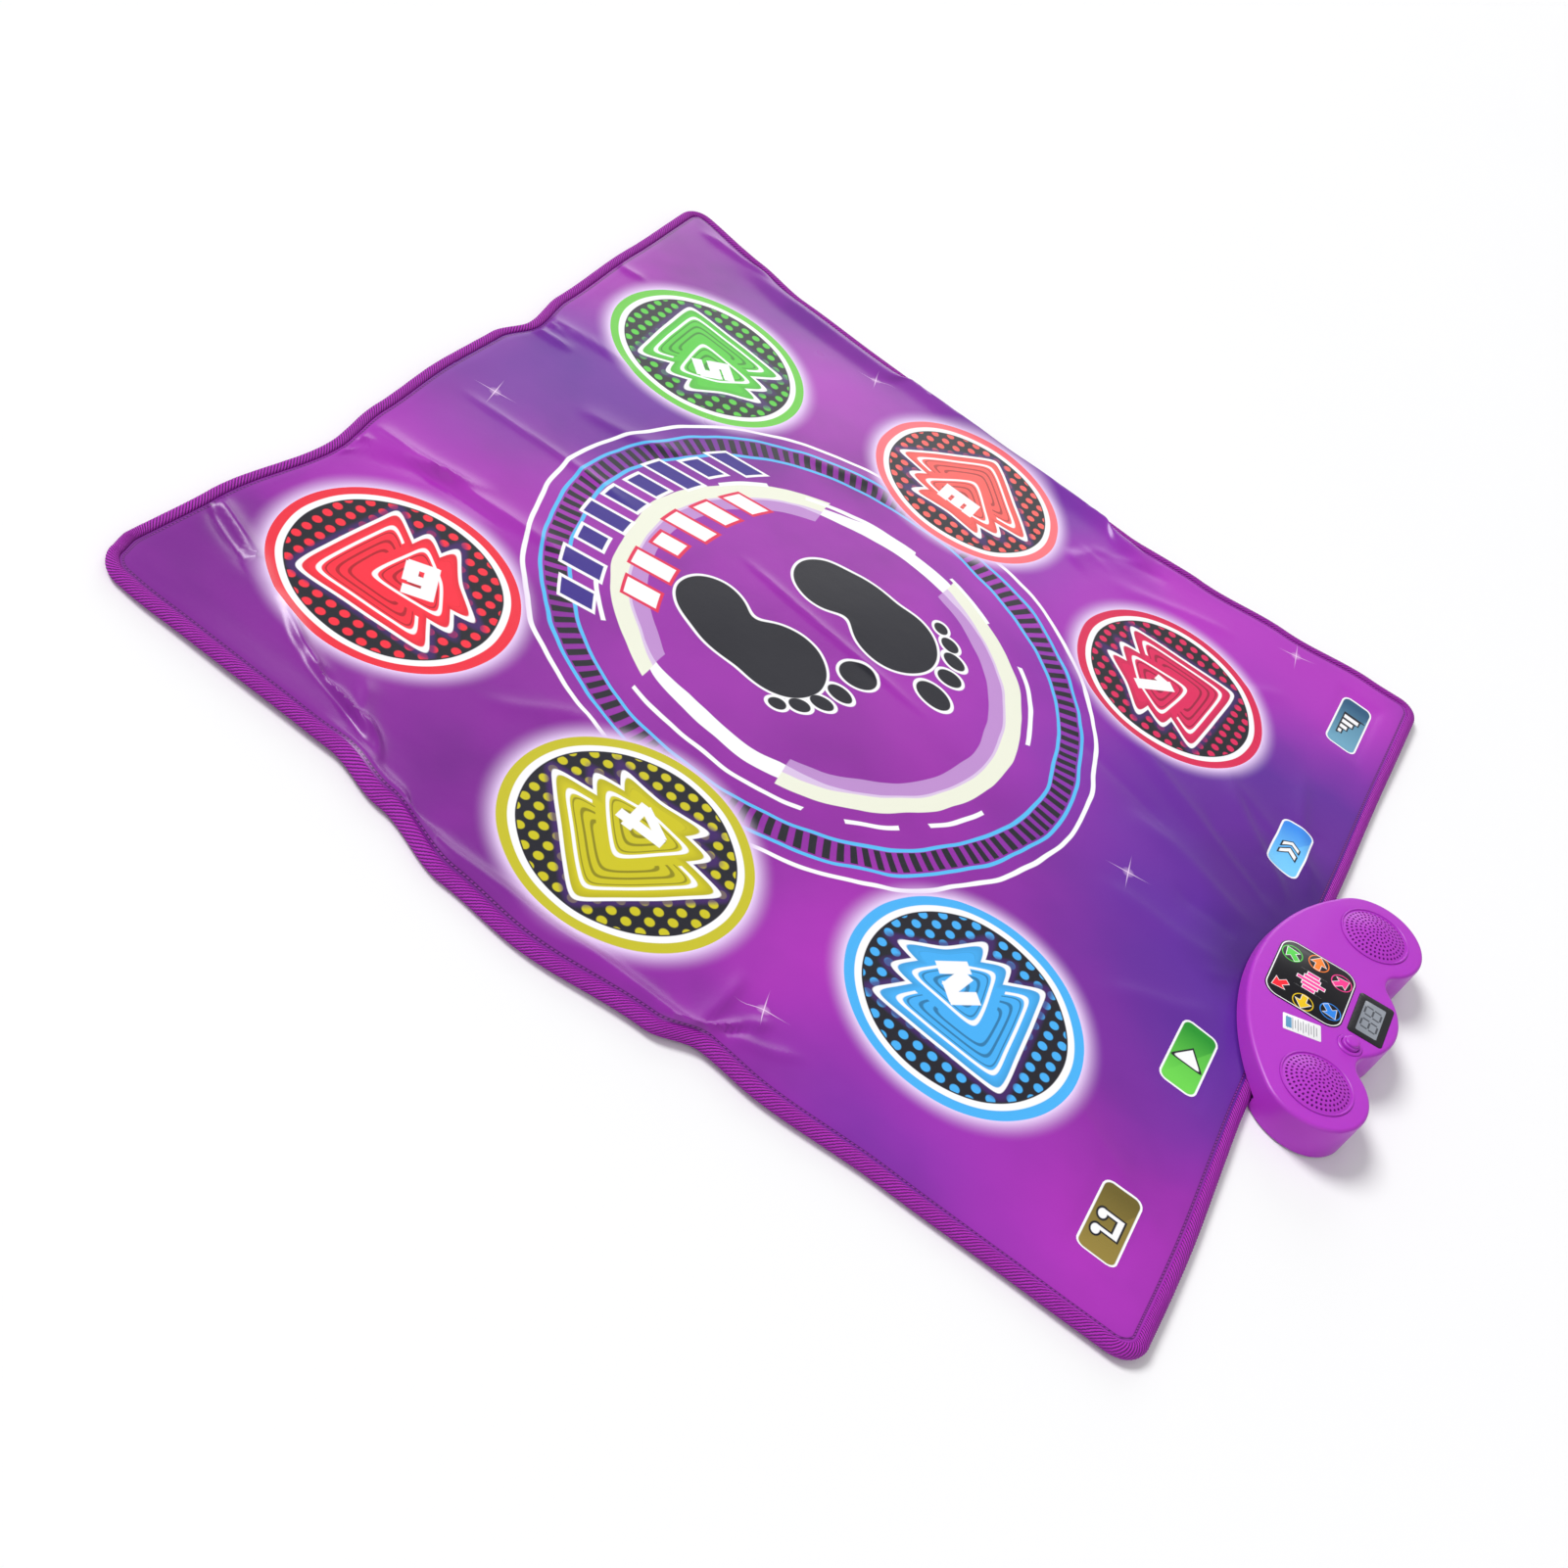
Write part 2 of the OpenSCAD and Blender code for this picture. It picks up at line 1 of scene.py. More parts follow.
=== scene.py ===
import math

import bmesh
import bpy
import numpy as np
from mathutils import Matrix, Vector


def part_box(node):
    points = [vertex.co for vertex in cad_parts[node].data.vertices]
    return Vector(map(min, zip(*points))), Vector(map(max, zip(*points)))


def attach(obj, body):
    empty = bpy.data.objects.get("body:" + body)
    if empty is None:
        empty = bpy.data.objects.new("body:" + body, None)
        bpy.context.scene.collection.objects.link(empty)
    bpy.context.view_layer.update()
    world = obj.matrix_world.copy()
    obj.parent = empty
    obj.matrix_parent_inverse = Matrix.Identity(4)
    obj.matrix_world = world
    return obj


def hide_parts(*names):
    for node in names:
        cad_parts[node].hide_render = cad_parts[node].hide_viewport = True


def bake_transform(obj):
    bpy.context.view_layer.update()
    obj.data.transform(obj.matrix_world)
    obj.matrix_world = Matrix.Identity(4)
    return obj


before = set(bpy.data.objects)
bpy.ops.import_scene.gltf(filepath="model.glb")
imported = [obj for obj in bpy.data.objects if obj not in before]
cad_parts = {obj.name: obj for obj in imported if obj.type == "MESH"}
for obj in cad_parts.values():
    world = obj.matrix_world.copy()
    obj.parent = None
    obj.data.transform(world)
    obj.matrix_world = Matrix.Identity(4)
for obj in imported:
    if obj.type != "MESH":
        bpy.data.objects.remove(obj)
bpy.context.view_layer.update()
print("frame loaded")
mm = 0.001


# Small helpers for meshes

def keepMesh(name, bm, material, sharpDegrees=35):
    mesh = bpy.data.meshes.new(name)
    bm.to_mesh(mesh)
    bm.free()
    obj = bpy.data.objects.new(name, mesh)
    bpy.context.scene.collection.objects.link(obj)
    mesh.materials.append(material)
    mesh.polygons.foreach_set("use_smooth", [True] * len(mesh.polygons))
    mesh.set_sharp_from_angle(angle=math.radians(sharpDegrees))
    return obj


def centreOf(node):
    low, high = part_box(node)
    return (low + high) / 2


def ease(t):
    t = np.clip(t, 0, 1)
    return t * t * (3 - 2 * t)


def partly(least, t):
    return least + (1 - least) * ease(t)


# Fields: numbers that vary over a surface, built from math nodes

class Field:
    def __init__(self, tree, out):
        self.tree, self.out = tree, out

    def run(self, kind, *others, clamp=False):
        node = self.tree.nodes.new("ShaderNodeMath")
        node.operation = kind
        node.use_clamp = clamp
        for slot, value in zip(node.inputs, (self, *others)):
            if isinstance(value, Field):
                self.tree.links.new(value.out, slot)
            else:
                slot.default_value = value
        return Field(self.tree, node.outputs[0])

    def __add__(self, other):
        return self.run("ADD", other)

    def __sub__(self, other):
        return self.run("SUBTRACT", other)

    def __mul__(self, other):
        return self.run("MULTIPLY", other)

    def __truediv__(self, other):
        return self.run("DIVIDE", other)

    def __abs__(self):
        return self.run("ABSOLUTE")

    def least(self, other):
        return self.run("MINIMUM", other)

    def most(self, other):
        return self.run("MAXIMUM", other)

    def smoothMost(self, other, k):
        return self.run("SMOOTH_MAX", other, k)

    def smoothLeast(self, other, k):
        return self.run("SMOOTH_MIN", other, k)

    def inside(self, soft=0.0007):
        # 1 where the distance is below zero, fading over soft metres
        return self.run("MULTIPLY_ADD", -1 / soft, 0.5, clamp=True)

    def line(self, half, soft=0.0007):
        return (abs(self) - half).inside(soft)


class Drawing:
    # Artwork drawn on a flat layout in metres, layer over layer
    def __init__(self, name, uv="flat"):
        self.material = bpy.data.materials.new(name)
        self.material.use_nodes = True
        self.tree = self.material.node_tree
        self.shader = self.tree.nodes["Principled BSDF"]
        if uv:
            source = self.node("ShaderNodeUVMap")
            source.uv_map = uv
            self.spot = source.outputs[0]
        else:
            self.spot = self.node("ShaderNodeTexCoord").outputs["Object"]
        self.colour = None

    def node(self, kind, **values):
        made = self.tree.nodes.new(kind)
        for key, value in values.items():
            setattr(made, key, value)
        return made

    def link(self, a, b):
        self.tree.links.new(a, b)

    def vector(self, kind, a, b):
        node = self.node("ShaderNodeVectorMath", operation=kind)
        self.link(a, node.inputs[0])
        if isinstance(b, bpy.types.NodeSocket):
            self.link(b, node.inputs[1])
        elif b is not None:
            node.inputs[1].default_value = b
        return node.outputs[1] if kind in ("LENGTH", "DISTANCE") else node.outputs[0]

    def placed(self, centre, turn=0.0, size=(1, 1), spot=None):
        # Layout coordinates seen from a centre, turned and scaled
        node = self.node("ShaderNodeMapping", vector_type="TEXTURE")
        self.link(spot or self.spot, node.inputs[0])
        node.inputs["Location"].default_value = (centre[0], centre[1], 0)
        node.inputs["Rotation"].default_value = (0, 0, turn)
        node.inputs["Scale"].default_value = (size[0], size[1], 1)
        return node.outputs[0]

    def axes(self, spot):
        node = self.node("ShaderNodeSeparateXYZ")
        self.link(spot, node.inputs[0])
        return Field(self.tree, node.outputs[0]), Field(self.tree, node.outputs[1])

    def disc(self, centre, radius, spot=None):
        return Field(self.tree, self.vector("DISTANCE", spot or self.spot, (*centre, 0))) - radius

    def oval(self, centre, size, turn=0.0, spot=None):
        away = self.vector("LENGTH", self.placed(centre, turn, size, spot), None)
        return Field(self.tree, away).run("MULTIPLY_ADD", min(size), -min(size))

    def block(self, centre, half, turn=0.0, corner=0.0, spot=None):
        x, y = self.axes(self.placed(centre, turn, spot=spot))
        x, y = abs(x) - (half[0] - corner), abs(y) - (half[1] - corner)
        if not corner:
            return x.most(y)
        x2, y2 = x.most(0), y.most(0)
        return (x2 * x2 + y2 * y2).run("SQRT") + x.most(y).least(0) - corner

    def arcDash(self, centre, radius, half, width, angle, spot=None):
        # A short stroke along a circle
        x, y = self.axes(self.placed(centre, angle, spot=spot))
        away = abs((x * x + y * y).run("SQRT") - radius) - width / 2
        return away.most(abs(y) - half).most(x * -1)

    def noise(self, scale, detail=2.0, rough=0.5, spot=None, colour=False):
        node = self.node("ShaderNodeTexNoise")
        self.link(spot or self.spot, node.inputs["Vector"])
        node.inputs["Scale"].default_value = scale
        node.inputs["Detail"].default_value = detail
        node.inputs["Roughness"].default_value = rough
        return node.outputs["Color"] if colour else Field(self.tree, node.outputs[0])

    def wobbly(self, size, scale, detail=1.0):
        # The layout pushed about by smooth noise, for lines drawn by hand
        push = self.vector("SUBTRACT", self.noise(scale, detail, colour=True), (0.5, 0.5, 0.5))
        node = self.node("ShaderNodeVectorMath", operation="MULTIPLY_ADD")
        self.link(push, node.inputs[0])
        node.inputs[1].default_value = (size, size, 0)
        self.link(self.spot, node.inputs[2])
        return node.outputs[0]

    def ramp(self, field, stops):
        node = self.node("ShaderNodeValToRGB")
        self.link(field.out, node.inputs[0])
        while len(node.color_ramp.elements) < len(stops):
            node.color_ramp.elements.new(0.5)
        for element, (place, colour) in zip(node.color_ramp.elements, stops):
            element.position = place
            element.color = (*colour, 1)
        return node.outputs[0]

    def paint(self, mask, colour, strength=None):
        # Lays a colour, or another colour output, over what is there
        if strength is not None:
            mask = mask * strength
        node = self.node("ShaderNodeMix", data_type="RGBA")
        self.link(mask.out, node.inputs[0])
        if isinstance(self.colour, bpy.types.NodeSocket):
            self.link(self.colour, node.inputs[6])
        else:
            node.inputs[6].default_value = (*self.colour, 1)
        if isinstance(colour, bpy.types.NodeSocket):
            self.link(colour, node.inputs[7])
        else:
            node.inputs[7].default_value = (*colour, 1)
        self.colour = node.outputs[2]

    def bump(self, field, depth, strength=1.0):
        node = self.node("ShaderNodeBump")
        node.inputs["Strength"].default_value = strength
        node.inputs["Distance"].default_value = depth
        self.link(field.out, node.inputs["Height"])
        self.link(node.outputs[0], self.shader.inputs["Normal"])

    def finish(self, rough=0.5, roughField=None, **values):
        if isinstance(self.colour, bpy.types.NodeSocket):
            self.link(self.colour, self.shader.inputs["Base Color"])
        else:
            self.shader.inputs["Base Color"].default_value = (*self.colour, 1)
        self.shader.inputs["Roughness"].default_value = rough
        if roughField is not None:
            self.link(roughField.out, self.shader.inputs["Roughness"])
        for key, value in values.items():
            self.shader.inputs[key].default_value = value
        return self.material


def tint(red, green, blue):
    # Screen colour, 0 to 255, as the linear colour a shader takes
    return tuple(c / 12.92 if c <= 0.04045 else ((c + 0.055) / 1.055) ** 2.4
                 for c in (red / 255, green / 255, blue / 255))


boxShape = {
    "lobeX": 103 * mm, "lobeRadius": 45.5 * mm, "arcReach": 82.5 * mm, "bumpRadius": 61.5 * mm,
    "bumpY": 15 * mm, "notchRadius": 18 * mm, "wall": 2.4 * mm, "footHeight": 1.5 * mm,
    "draft": 1.6 * mm, "edgeRadius": 3.4 * mm, "tilt": 7.0, "overMat": 8.5 * mm,
    "centre": (-16 * mm, -492 * mm), "height": 33 * mm,
}
boxArcRadius = (boxShape["lobeX"] ** 2 + boxShape["arcReach"] ** 2 - boxShape["lobeRadius"] ** 2) / (
    2 * (boxShape["arcReach"] - boxShape["lobeRadius"]))

# The mat's flat layout

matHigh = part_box("binding_far")[1]
halfWide, halfLong = matHigh.x, matHigh.y
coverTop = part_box("cover_near")[1].z
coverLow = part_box("cover_near")[0].z
coverHalf = (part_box("cover_middle")[1].x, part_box("cover_far")[1].y)
bindingWide = halfWide - coverHalf[0]
nearFoldY = (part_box("cover_near")[1].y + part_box("cover_middle")[0].y) / 2
farFoldY = (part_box("cover_middle")[1].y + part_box("cover_far")[0].y) / 2
foldBand = 0.013

padNames = [f"arrow_pad_{i}" for i in range(1, 7)]
padSpots = [centreOf(n) for n in padNames]
padRadius = (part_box("arrow_pad_1")[1].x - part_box("arrow_pad_1")[0].x) / 2 + 0.15 * mm
keyNames = ["song", "start", "mode", "level"]
keySpots = [centreOf(f"{n}_key") for n in keyNames]
keyHalf = [(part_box(f"{n}_key")[1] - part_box(f"{n}_key")[0]) / 2 for n in keyNames]
keyCorner = 8 * mm

matShape = {
    "gridStep": 3.5 * mm,
    "cornerRadius": 24 * mm,
    "padSquare": 0.9,          # half side of the square that becomes a pad, over its radius
    "padRing": 1.2,            # where the grid round a pad is square again
    # how far the outer edge lies outside the flat cut, along each side
    "leftEdge": [(-457, -23), (-380, -22), (-250, -20), (-150, -14), (-100, -18), (-60, -4), (40, 6),
                 (110, 0), (180, -20), (235, -34), (300, -35), (400, -37), (457, -41)],
    "rightEdge": [(-457, 26), (-400, 21), (-300, 4), (-200, -14), (-150, -20), (0, -16), (200, -17),
                  (300, -13), (360, -5), (457, 11)],
    "farEdge": [(-465, -2), (-400, 3), (-300, -2), (-172, -18), (-100, -10), (0, -5), (80, -6),
                (128, -17), (190, -9), (330, -3), (465, 2)],
    "nearEdge": [(-465, 3), (-330, 5), (-170, 0), (140, 0), (300, 0), (465, 1)],
}

# Folds and puffs of the cover: from, to, height, half width, lean (all in mm), lean tips one side up
coverFolds = [
    (-305, 447, -345, 352, 2.5, 6, 0.9), (-345, 352, -376, 300, 2.4, 6, 0.9),
    (-314, 443, -342, 372, -1.8, 5, 0.0),
    (-376, 300, -434, 224, 2.7, 7, 0.95), (-396, 268, -437, 222, 1.7, 5, 0.6),
    (-362, 258, -434, 218, 1.2, 7, 0.7), (-440, 203, -404, 230, 1.5, 6, 0.8),
    (-384, 284, -432, 228, -1.8, 5, 0.0),
    (-176, 444, -108, 330, 1.5, 6, 0.9), (-168, 446, -124, 350, -1.4, 5, 0.0),
    (-152, 448, -118, 340, 1.8, 6, 0.9), (-140, 440, -132, 300, -1.2, 6, 0.0),
    (-128, 430, -118, 250, 1.6, 7, 0.8),
    (-16, 400, -8, 250, 0.7, 4, 0.8), (22, 120, -4, -60, 0.8, 4, 1.2),
    (118, 446, 128, 395, 1.2, 5, 0.8), (138, 448, 142, 405, 1.0, 4, 0.8), (150, 445, 160, 330, 0.8, 6, 0.9),
    (292, 450, 296, 415, 0.9, 5, 0.6), (432, 420, 452, 330, 1.2, 6, 0.6),
    (-445, -96, -398, -128, 1.6, 5, 0.9), (-440, -104, -412, -120, -1.6, 3, 0.0),
    (-447, -90, -372, -92, 1.2, 6, 0.8), (-444, -112, -408, -160, 0.9, 6, 0.8),
    (428, -144, 366, -92, 1.1, 13, 0.8), (420, -165, 352, -70, -1.0, 12, 0.0),
    (372, -92, 336, -84, 1.0, 10, 0.6), (400, -250, 352, -130, 0.6, 10, 0.8),
    (176, -150, 92, -330, 1.0, 11, 0.9), (150, -240, 40, -438, 0.9, 9, 0.9),
    (190, -330, 124, -450, 0.8, 10, 0.8), (108, -190, 66, -300, -0.8, 9, 0.0),
    (-170, -180, -330, -430, 0.5, 7, 0.8), (-60, -380, -20, -440, 0.6, 7, 0.8),
    (210, 170, 262, 60, 0.5, 9, 0.8),
    (-92, -396, -150, -318, 0.8, 13, 0.8), (-30, -388, -44, -276, 0.9, 15, 0.8),
    (36, -392, 62, -268, 1.3, 15, 0.9), (88, -412, 196, -322, 1.5, 12, 0.9),
    (112, -434, 262, -384, 1.0, 10, 0.8), (66, -400, 128, -318, -1.1, 10, 0.0),
    (2, -388, 12, -330, -0.9, 10, 0.0),
    (60, 330, 96, 240, 0.6, 9, 0.9), (-250, 120, -300, 190, 0.6, 9, 0.8),
    (360, -330, 300, -250, 0.5, 10, 0.8),
]


def besideBox(x, y):
    # How far a point of the mat lies from the arc of the control box
    boxX, boxY = boxShape["centre"]
    return np.hypot(x - boxX, y - boxY - boxShape["arcReach"] + boxArcRadius) - boxArcRadius


def edgeWave(points, along):
    # A wavy line through a few points, level at each of them
    xs = np.array([p[0] for p in points]) * mm
    ys = np.array([p[1] for p in points]) * mm
    i = np.clip(np.searchsorted(xs, along) - 1, 0, len(xs) - 2)
    t = ease((along - xs[i]) / (xs[i + 1] - xs[i]))
    return ys[i] + (ys[i + 1] - ys[i]) * t


def foldHeight(x, y, fold):
    ax, ay, bx, by, height, half, lean = fold
    ax, ay, bx, by, height, half = (v * mm for v in (ax, ay, bx, by, height, half))
    dx, dy = bx - ax, by - ay
    length = math.hypot(dx, dy)
    t = ((x - ax) * dx + (y - ay) * dy) / length ** 2
    sway = 0.3 * half * np.sin(t * 5 + ax * 300)
    across = (dx * (y - ay) - dy * (x - ax)) / length + sway
    window = ease(t / 0.3 + 0.5) * ease((1 - t) / 0.45 + 0.35)
    profile = np.exp(0.42 - 1.2 * np.sqrt((across / half) ** 2 + 0.12))
    return height * window * profile * (1 + lean * np.tanh(across / half))


matLift = {
    "swell": 0.9 * mm,         # soft waves all over
    "edgeWave": 1.6 * mm,      # the outer rim lifts a little more
    "rightRoll": 4.6 * mm, "rightDrop": 4.0 * mm,
    "leftRoll": 5.2 * mm, "leftDrop": 0.6 * mm,
    "underPads": 0.08, "underKeys": 0.15,      # the share of the lift left under them
    "foldStrength": 2.0, "foldsOnPads": 0.25, "seamTuck": 0.8 * mm,
    "margin": 104 * mm, "padMargin": 34 * mm,  # how wide a strip moves with the outline
}


def rolls(y):
    # How far the rolls of the right and the left edge are there, from 0 to 1
    return (ease((y + halfLong * 0.36) / 0.05) * ease((0.385 - y) / 0.09),
            ease((y + 0.112) / 0.035) * ease((0.262 - y) / 0.06))


def looseHeight(x, y):
    # How far the whole mat lifts off the floor
    swell = (1 + np.sin(x * 17 + 1.3 * np.sin(y * 9)) * np.sin(y * 13 + 0.8 + np.sin(x * 7))) / 2
    rightRoll, leftRoll = rolls(y)
    leftLine = halfWide - 0.019 - 0.005 * np.sin((y + 0.1) * 14)
    roll = matLift["rightRoll"] * rightRoll * np.exp(-((x - halfWide + 0.030) / 0.013) ** 2)
    roll += matLift["leftRoll"] * leftRoll * np.exp(-((x + leftLine) / 0.0085) ** 2)
    lift = matLift["swell"] * swell + roll
    edgeLift = np.maximum(np.abs(x) / halfWide, np.abs(y) / halfLong)
    wave = 0.5 + 0.5 * np.sin(x * 21 + y * 17)
    lift = lift + matLift["edgeWave"] * ease((edgeLift - 0.86) / 0.14) * wave
    # flat under the box, the pads and the keys
    still = ease((besideBox(x, y) - 0.008) / 0.05)
    for spot in padSpots:
        away = np.hypot(x - spot.x, y - spot.y) - 0.096
        still = still * partly(matLift["underPads"], away / 0.018)
    for spot, half in zip(keySpots, keyHalf):
        away = np.maximum(np.abs(x - spot.x) - half.x, np.abs(y - spot.y) - half.y)
        still = still * partly(matLift["underKeys"], away / 0.012)
    return lift * still


def rimDrop(x, y):
    # The outer rim of the right roll turns down, so that its binding lies low
    rightRoll, leftRoll = rolls(y)
    drop = matLift["rightDrop"] * rightRoll * ease((x - halfWide + 0.021) / 0.008)
    return drop + matLift["leftDrop"] * leftRoll * ease((-x - halfWide + 0.016) / 0.004)


def laidOut(x, y):
    # Moves points of the flat cut to where the laid mat has them
    besidePads = ease((0.155 - np.abs(y - 0.036)) / 0.035)
    margin = matLift["margin"] + (matLift["padMargin"] - matLift["margin"]) * besidePads
    right = ease((x - halfWide + margin) / (margin - bindingWide * 0.9))
    left = ease((-x - halfWide + margin) / (margin - bindingWide * 0.9))
    far = ease((y - halfLong + 0.045) / 0.036)
    near = ease((-y - halfLong + 0.036) / 0.028)
    newX = x + right * edgeWave(matShape["rightEdge"], y) - left * edgeWave(matShape["leftEdge"], y)
    newY = y + far * edgeWave(matShape["farEdge"], x) - near * edgeWave(matShape["nearEdge"], x)
    return newX, newY


def coverRelief(x, y):
    total = np.zeros_like(x)
    for fold in coverFolds:
        total += matLift["foldStrength"] * foldHeight(x, y, fold)
    inPad = np.ones_like(x)
    for spot in padSpots:
        away = np.hypot(x - spot.x, y - spot.y)
        inPad *= partly(matLift["foldsOnPads"], (away - 0.09) / 0.02)
    # the cover is stretched down to its seam all round
    seam = np.minimum(coverHalf[0] - np.abs(x), coverHalf[1] - np.abs(y))
    tuck = -matLift["seamTuck"] * (1 - ease(seam / 0.006))
    clear = ease((besideBox(x, y) - 0.002) / 0.022) * ease(seam / 0.008 + 0.1)
    return total * inPad * clear + tuck


def shapeLayer(flat, height, rise=0.0, dent=0.0):
    # Rest places of points given on the flat cut: flat is (n, 2), height a number or (n,)
    x, y = flat[:, 0], flat[:, 1]
    newX, newY = laidOut(x, y)
    z = height + looseHeight(x, y) - rimDrop(x, y) * np.clip(height / coverTop, 0, 1)
    if rise or dent:
        relief = coverRelief(x, y)
        z = z + rise * np.maximum(relief, 0) + dent * np.minimum(relief, 0)
    return np.stack([newX, newY, np.maximum(z, 0)], 1)


def squareToRound(u, v, half, corner):
    # A point of the square -1..1 moved to the same ring of a rounded block
    m = np.maximum(np.abs(u), np.abs(v))
    straight = (half[0] - corner, half[1] - corner)
    px, py = u * half[0], v * half[1]
    ring = np.maximum(m, 1e-9)
    qx, qy = px / ring, py / ring            # on the block's edge
    ox, oy = np.abs(qx) - straight[0], np.abs(qy) - straight[1]
    inCorner = (ox > 0) & (oy > 0)
    far = np.maximum(ox, oy) / np.maximum(np.hypot(ox, oy), 1e-12)
    rx = np.where(inCorner, np.sign(qx) * (straight[0] + ox * far), qx)
    ry = np.where(inCorner, np.sign(qy) * (straight[1] + oy * far), qy)
    return rx * ring, ry * ring


class FlatGrid:
    # One even grid over the mat, with round pads and rounded keys drawn into it
    def __init__(self, step, half, inset=0.0):
        self.half = half
        self.count = [round(2 * h / step) for h in half]
        self.step = [2 * h / n for h, n in zip(half, self.count)]
        self.areas = []
        for i, spot in enumerate(padSpots):
            radius = padRadius - inset
            self.areas.append((padNames[i], spot, (radius, radius), radius,
                               matShape["padSquare"], matShape["padRing"]))
        for i, spot in enumerate(keySpots):
            half = (keyHalf[i].x + 0.15 * mm - inset, keyHalf[i].y + 0.15 * mm - inset)
            self.areas.append((keyNames[i], spot, half, max(keyCorner - inset, 1 * mm), 1.0, 1.0))

    def snap(self, value, axis):
        return round((value + self.half[axis]) / self.step[axis]) * self.step[axis] - self.half[axis]

    def blocks(self):
        made = []
        for name, spot, half, corner, inner, outer in self.areas:
            grid = [(self.snap(spot[a] - half[a] * inner, a), self.snap(spot[a] + half[a] * inner, a))
                    for a in (0, 1)]
            if outer > inner:
                ring = [(self.snap(spot[a] - half[a] * outer, a), self.snap(spot[a] + half[a] * outer, a))
                        for a in (0, 1)]
            else:
                ring = [(g[0] - 3 * self.step[a], g[1] + 3 * self.step[a]) for a, g in enumerate(grid)]
            made.append((name, spot, half, corner, grid, ring))
        return made

    def place(self, x, y):
        newX, newY = x.copy(), y.copy()
        for name, spot, half, corner, grid, ring in self.blocks():
            mid = [(g[0] + g[1]) / 2 for g in grid]
            reach = [(g[1] - g[0]) / 2 for g in grid]
            u, v = (x - mid[0]) / reach[0], (y - mid[1]) / reach[1]
            m = np.maximum(np.abs(u), np.abs(v))
            rx, ry = squareToRound(u, v, half, corner)
            within = m <= 1 + 1e-6
            newX[within], newY[within] = spot.x + rx[within], spot.y + ry[within]
            # between the block and the square ring round it
            outU = np.where(x > mid[0], ring[0][1] - mid[0], mid[0] - ring[0][0])
            outV = np.where(y > mid[1], ring[1][1] - mid[1], mid[1] - ring[1][0])
            ex, ey = np.abs(x - mid[0]), np.abs(y - mid[1])
            safe = np.maximum(m, 1e-9)
            edgeX, edgeY = (x - mid[0]) / safe, (y - mid[1]) / safe      # on the block
            k = np.minimum(outU / np.maximum(np.abs(edgeX), 1e-9), outV / np.maximum(np.abs(edgeY), 1e-9))
            t = np.clip((m - 1) / np.maximum(k - 1, 1e-9), 0, 1)
            between = (m > 1 + 1e-6) & (ex < outU - 1e-9) & (ey < outV - 1e-9)
            bx, by = squareToRound(u / safe, v / safe, half, corner)
            sx, sy = bx + spot.x, by + spot.y
            tx, ty = mid[0] + edgeX * k, mid[1] + edgeY * k
            newX[between] = (sx + (tx - sx) * t)[between]
            newY[between] = (sy + (ty - sy) * t)[between]
        # the mat's own rounded corners
        corner = matShape["cornerRadius"] - bindingWide
        ox, oy = np.abs(newX) - (self.half[0] - corner), np.abs(newY) - (self.half[1] - corner)
        bend = (ox > 0) & (oy > 0)
        far = np.maximum(ox, oy) / np.maximum(np.hypot(ox, oy), 1e-12)
        newX = np.where(bend, np.sign(newX) * (self.half[0] - corner + ox * far), newX)
        newY = np.where(bend, np.sign(newY) * (self.half[1] - corner + oy * far), newY)
        return newX, newY

    def areaOf(self, x, y):
        # The name of the pad or key a grid face lies in, or none
        names = np.full(len(x), "", dtype=object)
        for name, spot, half, corner, grid, ring in self.blocks():
            within = ((x > grid[0][0]) & (x < grid[0][1]) & (y > grid[1][0]) & (y < grid[1][1]))
            names[within] = name
        return names


def gridSheet(grid):
    bm = bmesh.new()
    bmesh.ops.create_grid(bm, x_segments=grid.count[0], y_segments=grid.count[1], size=1.0)
    bmesh.ops.scale(bm, verts=bm.verts, vec=(grid.half[0], grid.half[1], 1))
    return bm


def setPlaces(obj, places):
    obj.data.vertices.foreach_set("co", np.asarray(places, np.float32).ravel())
    obj.data.update()


def setLayout(obj, flat, name="flat"):
    # A UV map that holds the flat layout in metres
    mesh = obj.data
    corners = np.zeros(len(mesh.loops), np.int32)
    mesh.loops.foreach_get("vertex_index", corners)
    layer = mesh.uv_layers.new(name=name)
    layer.data.foreach_set("uv", flat[corners].astype(np.float32).ravel())


def verticesOf(obj):
    places = np.zeros(len(obj.data.vertices) * 3, np.float32)
    obj.data.vertices.foreach_get("co", places)
    return places.reshape(-1, 3).astype(float)


def cutSlab(name, grid, wanted, low, high, material, rise=0.0, dent=0.0, lowDent=0.0):
    # Keeps the faces of the flat grid that wanted() picks, and gives them thickness and relief
    bm = gridSheet(grid)
    centres = np.array([f.calc_center_median()[:2] for f in bm.faces])
    keep = wanted(centres[:, 0], centres[:, 1])
    bmesh.ops.delete(bm, geom=[f for f, k in zip(bm.faces, keep) if not k], context="FACES")
    lifted = bmesh.ops.extrude_face_region(bm, geom=bm.faces[:], use_keep_orig=True)
    raised = [g for g in lifted["geom"] if isinstance(g, bmesh.types.BMVert)]
    bmesh.ops.translate(bm, verts=raised, vec=(0, 0, 1))
    bmesh.ops.recalc_face_normals(bm, faces=bm.faces[:])
    obj = keepMesh(name, bm, material)
    places = verticesOf(obj)
    isTop = places[:, 2:] > 0.5
    x, y = grid.place(places[:, 0], places[:, 1])
    flat = np.stack([x, y], 1)
    setLayout(obj, flat)
    setPlaces(obj, np.where(isTop, shapeLayer(flat, high, rise, dent), shapeLayer(flat, low, 0, lowDent)))
    obj.data.set_sharp_from_angle(angle=math.radians(50))
    return obj, flat


# Artwork of the mat

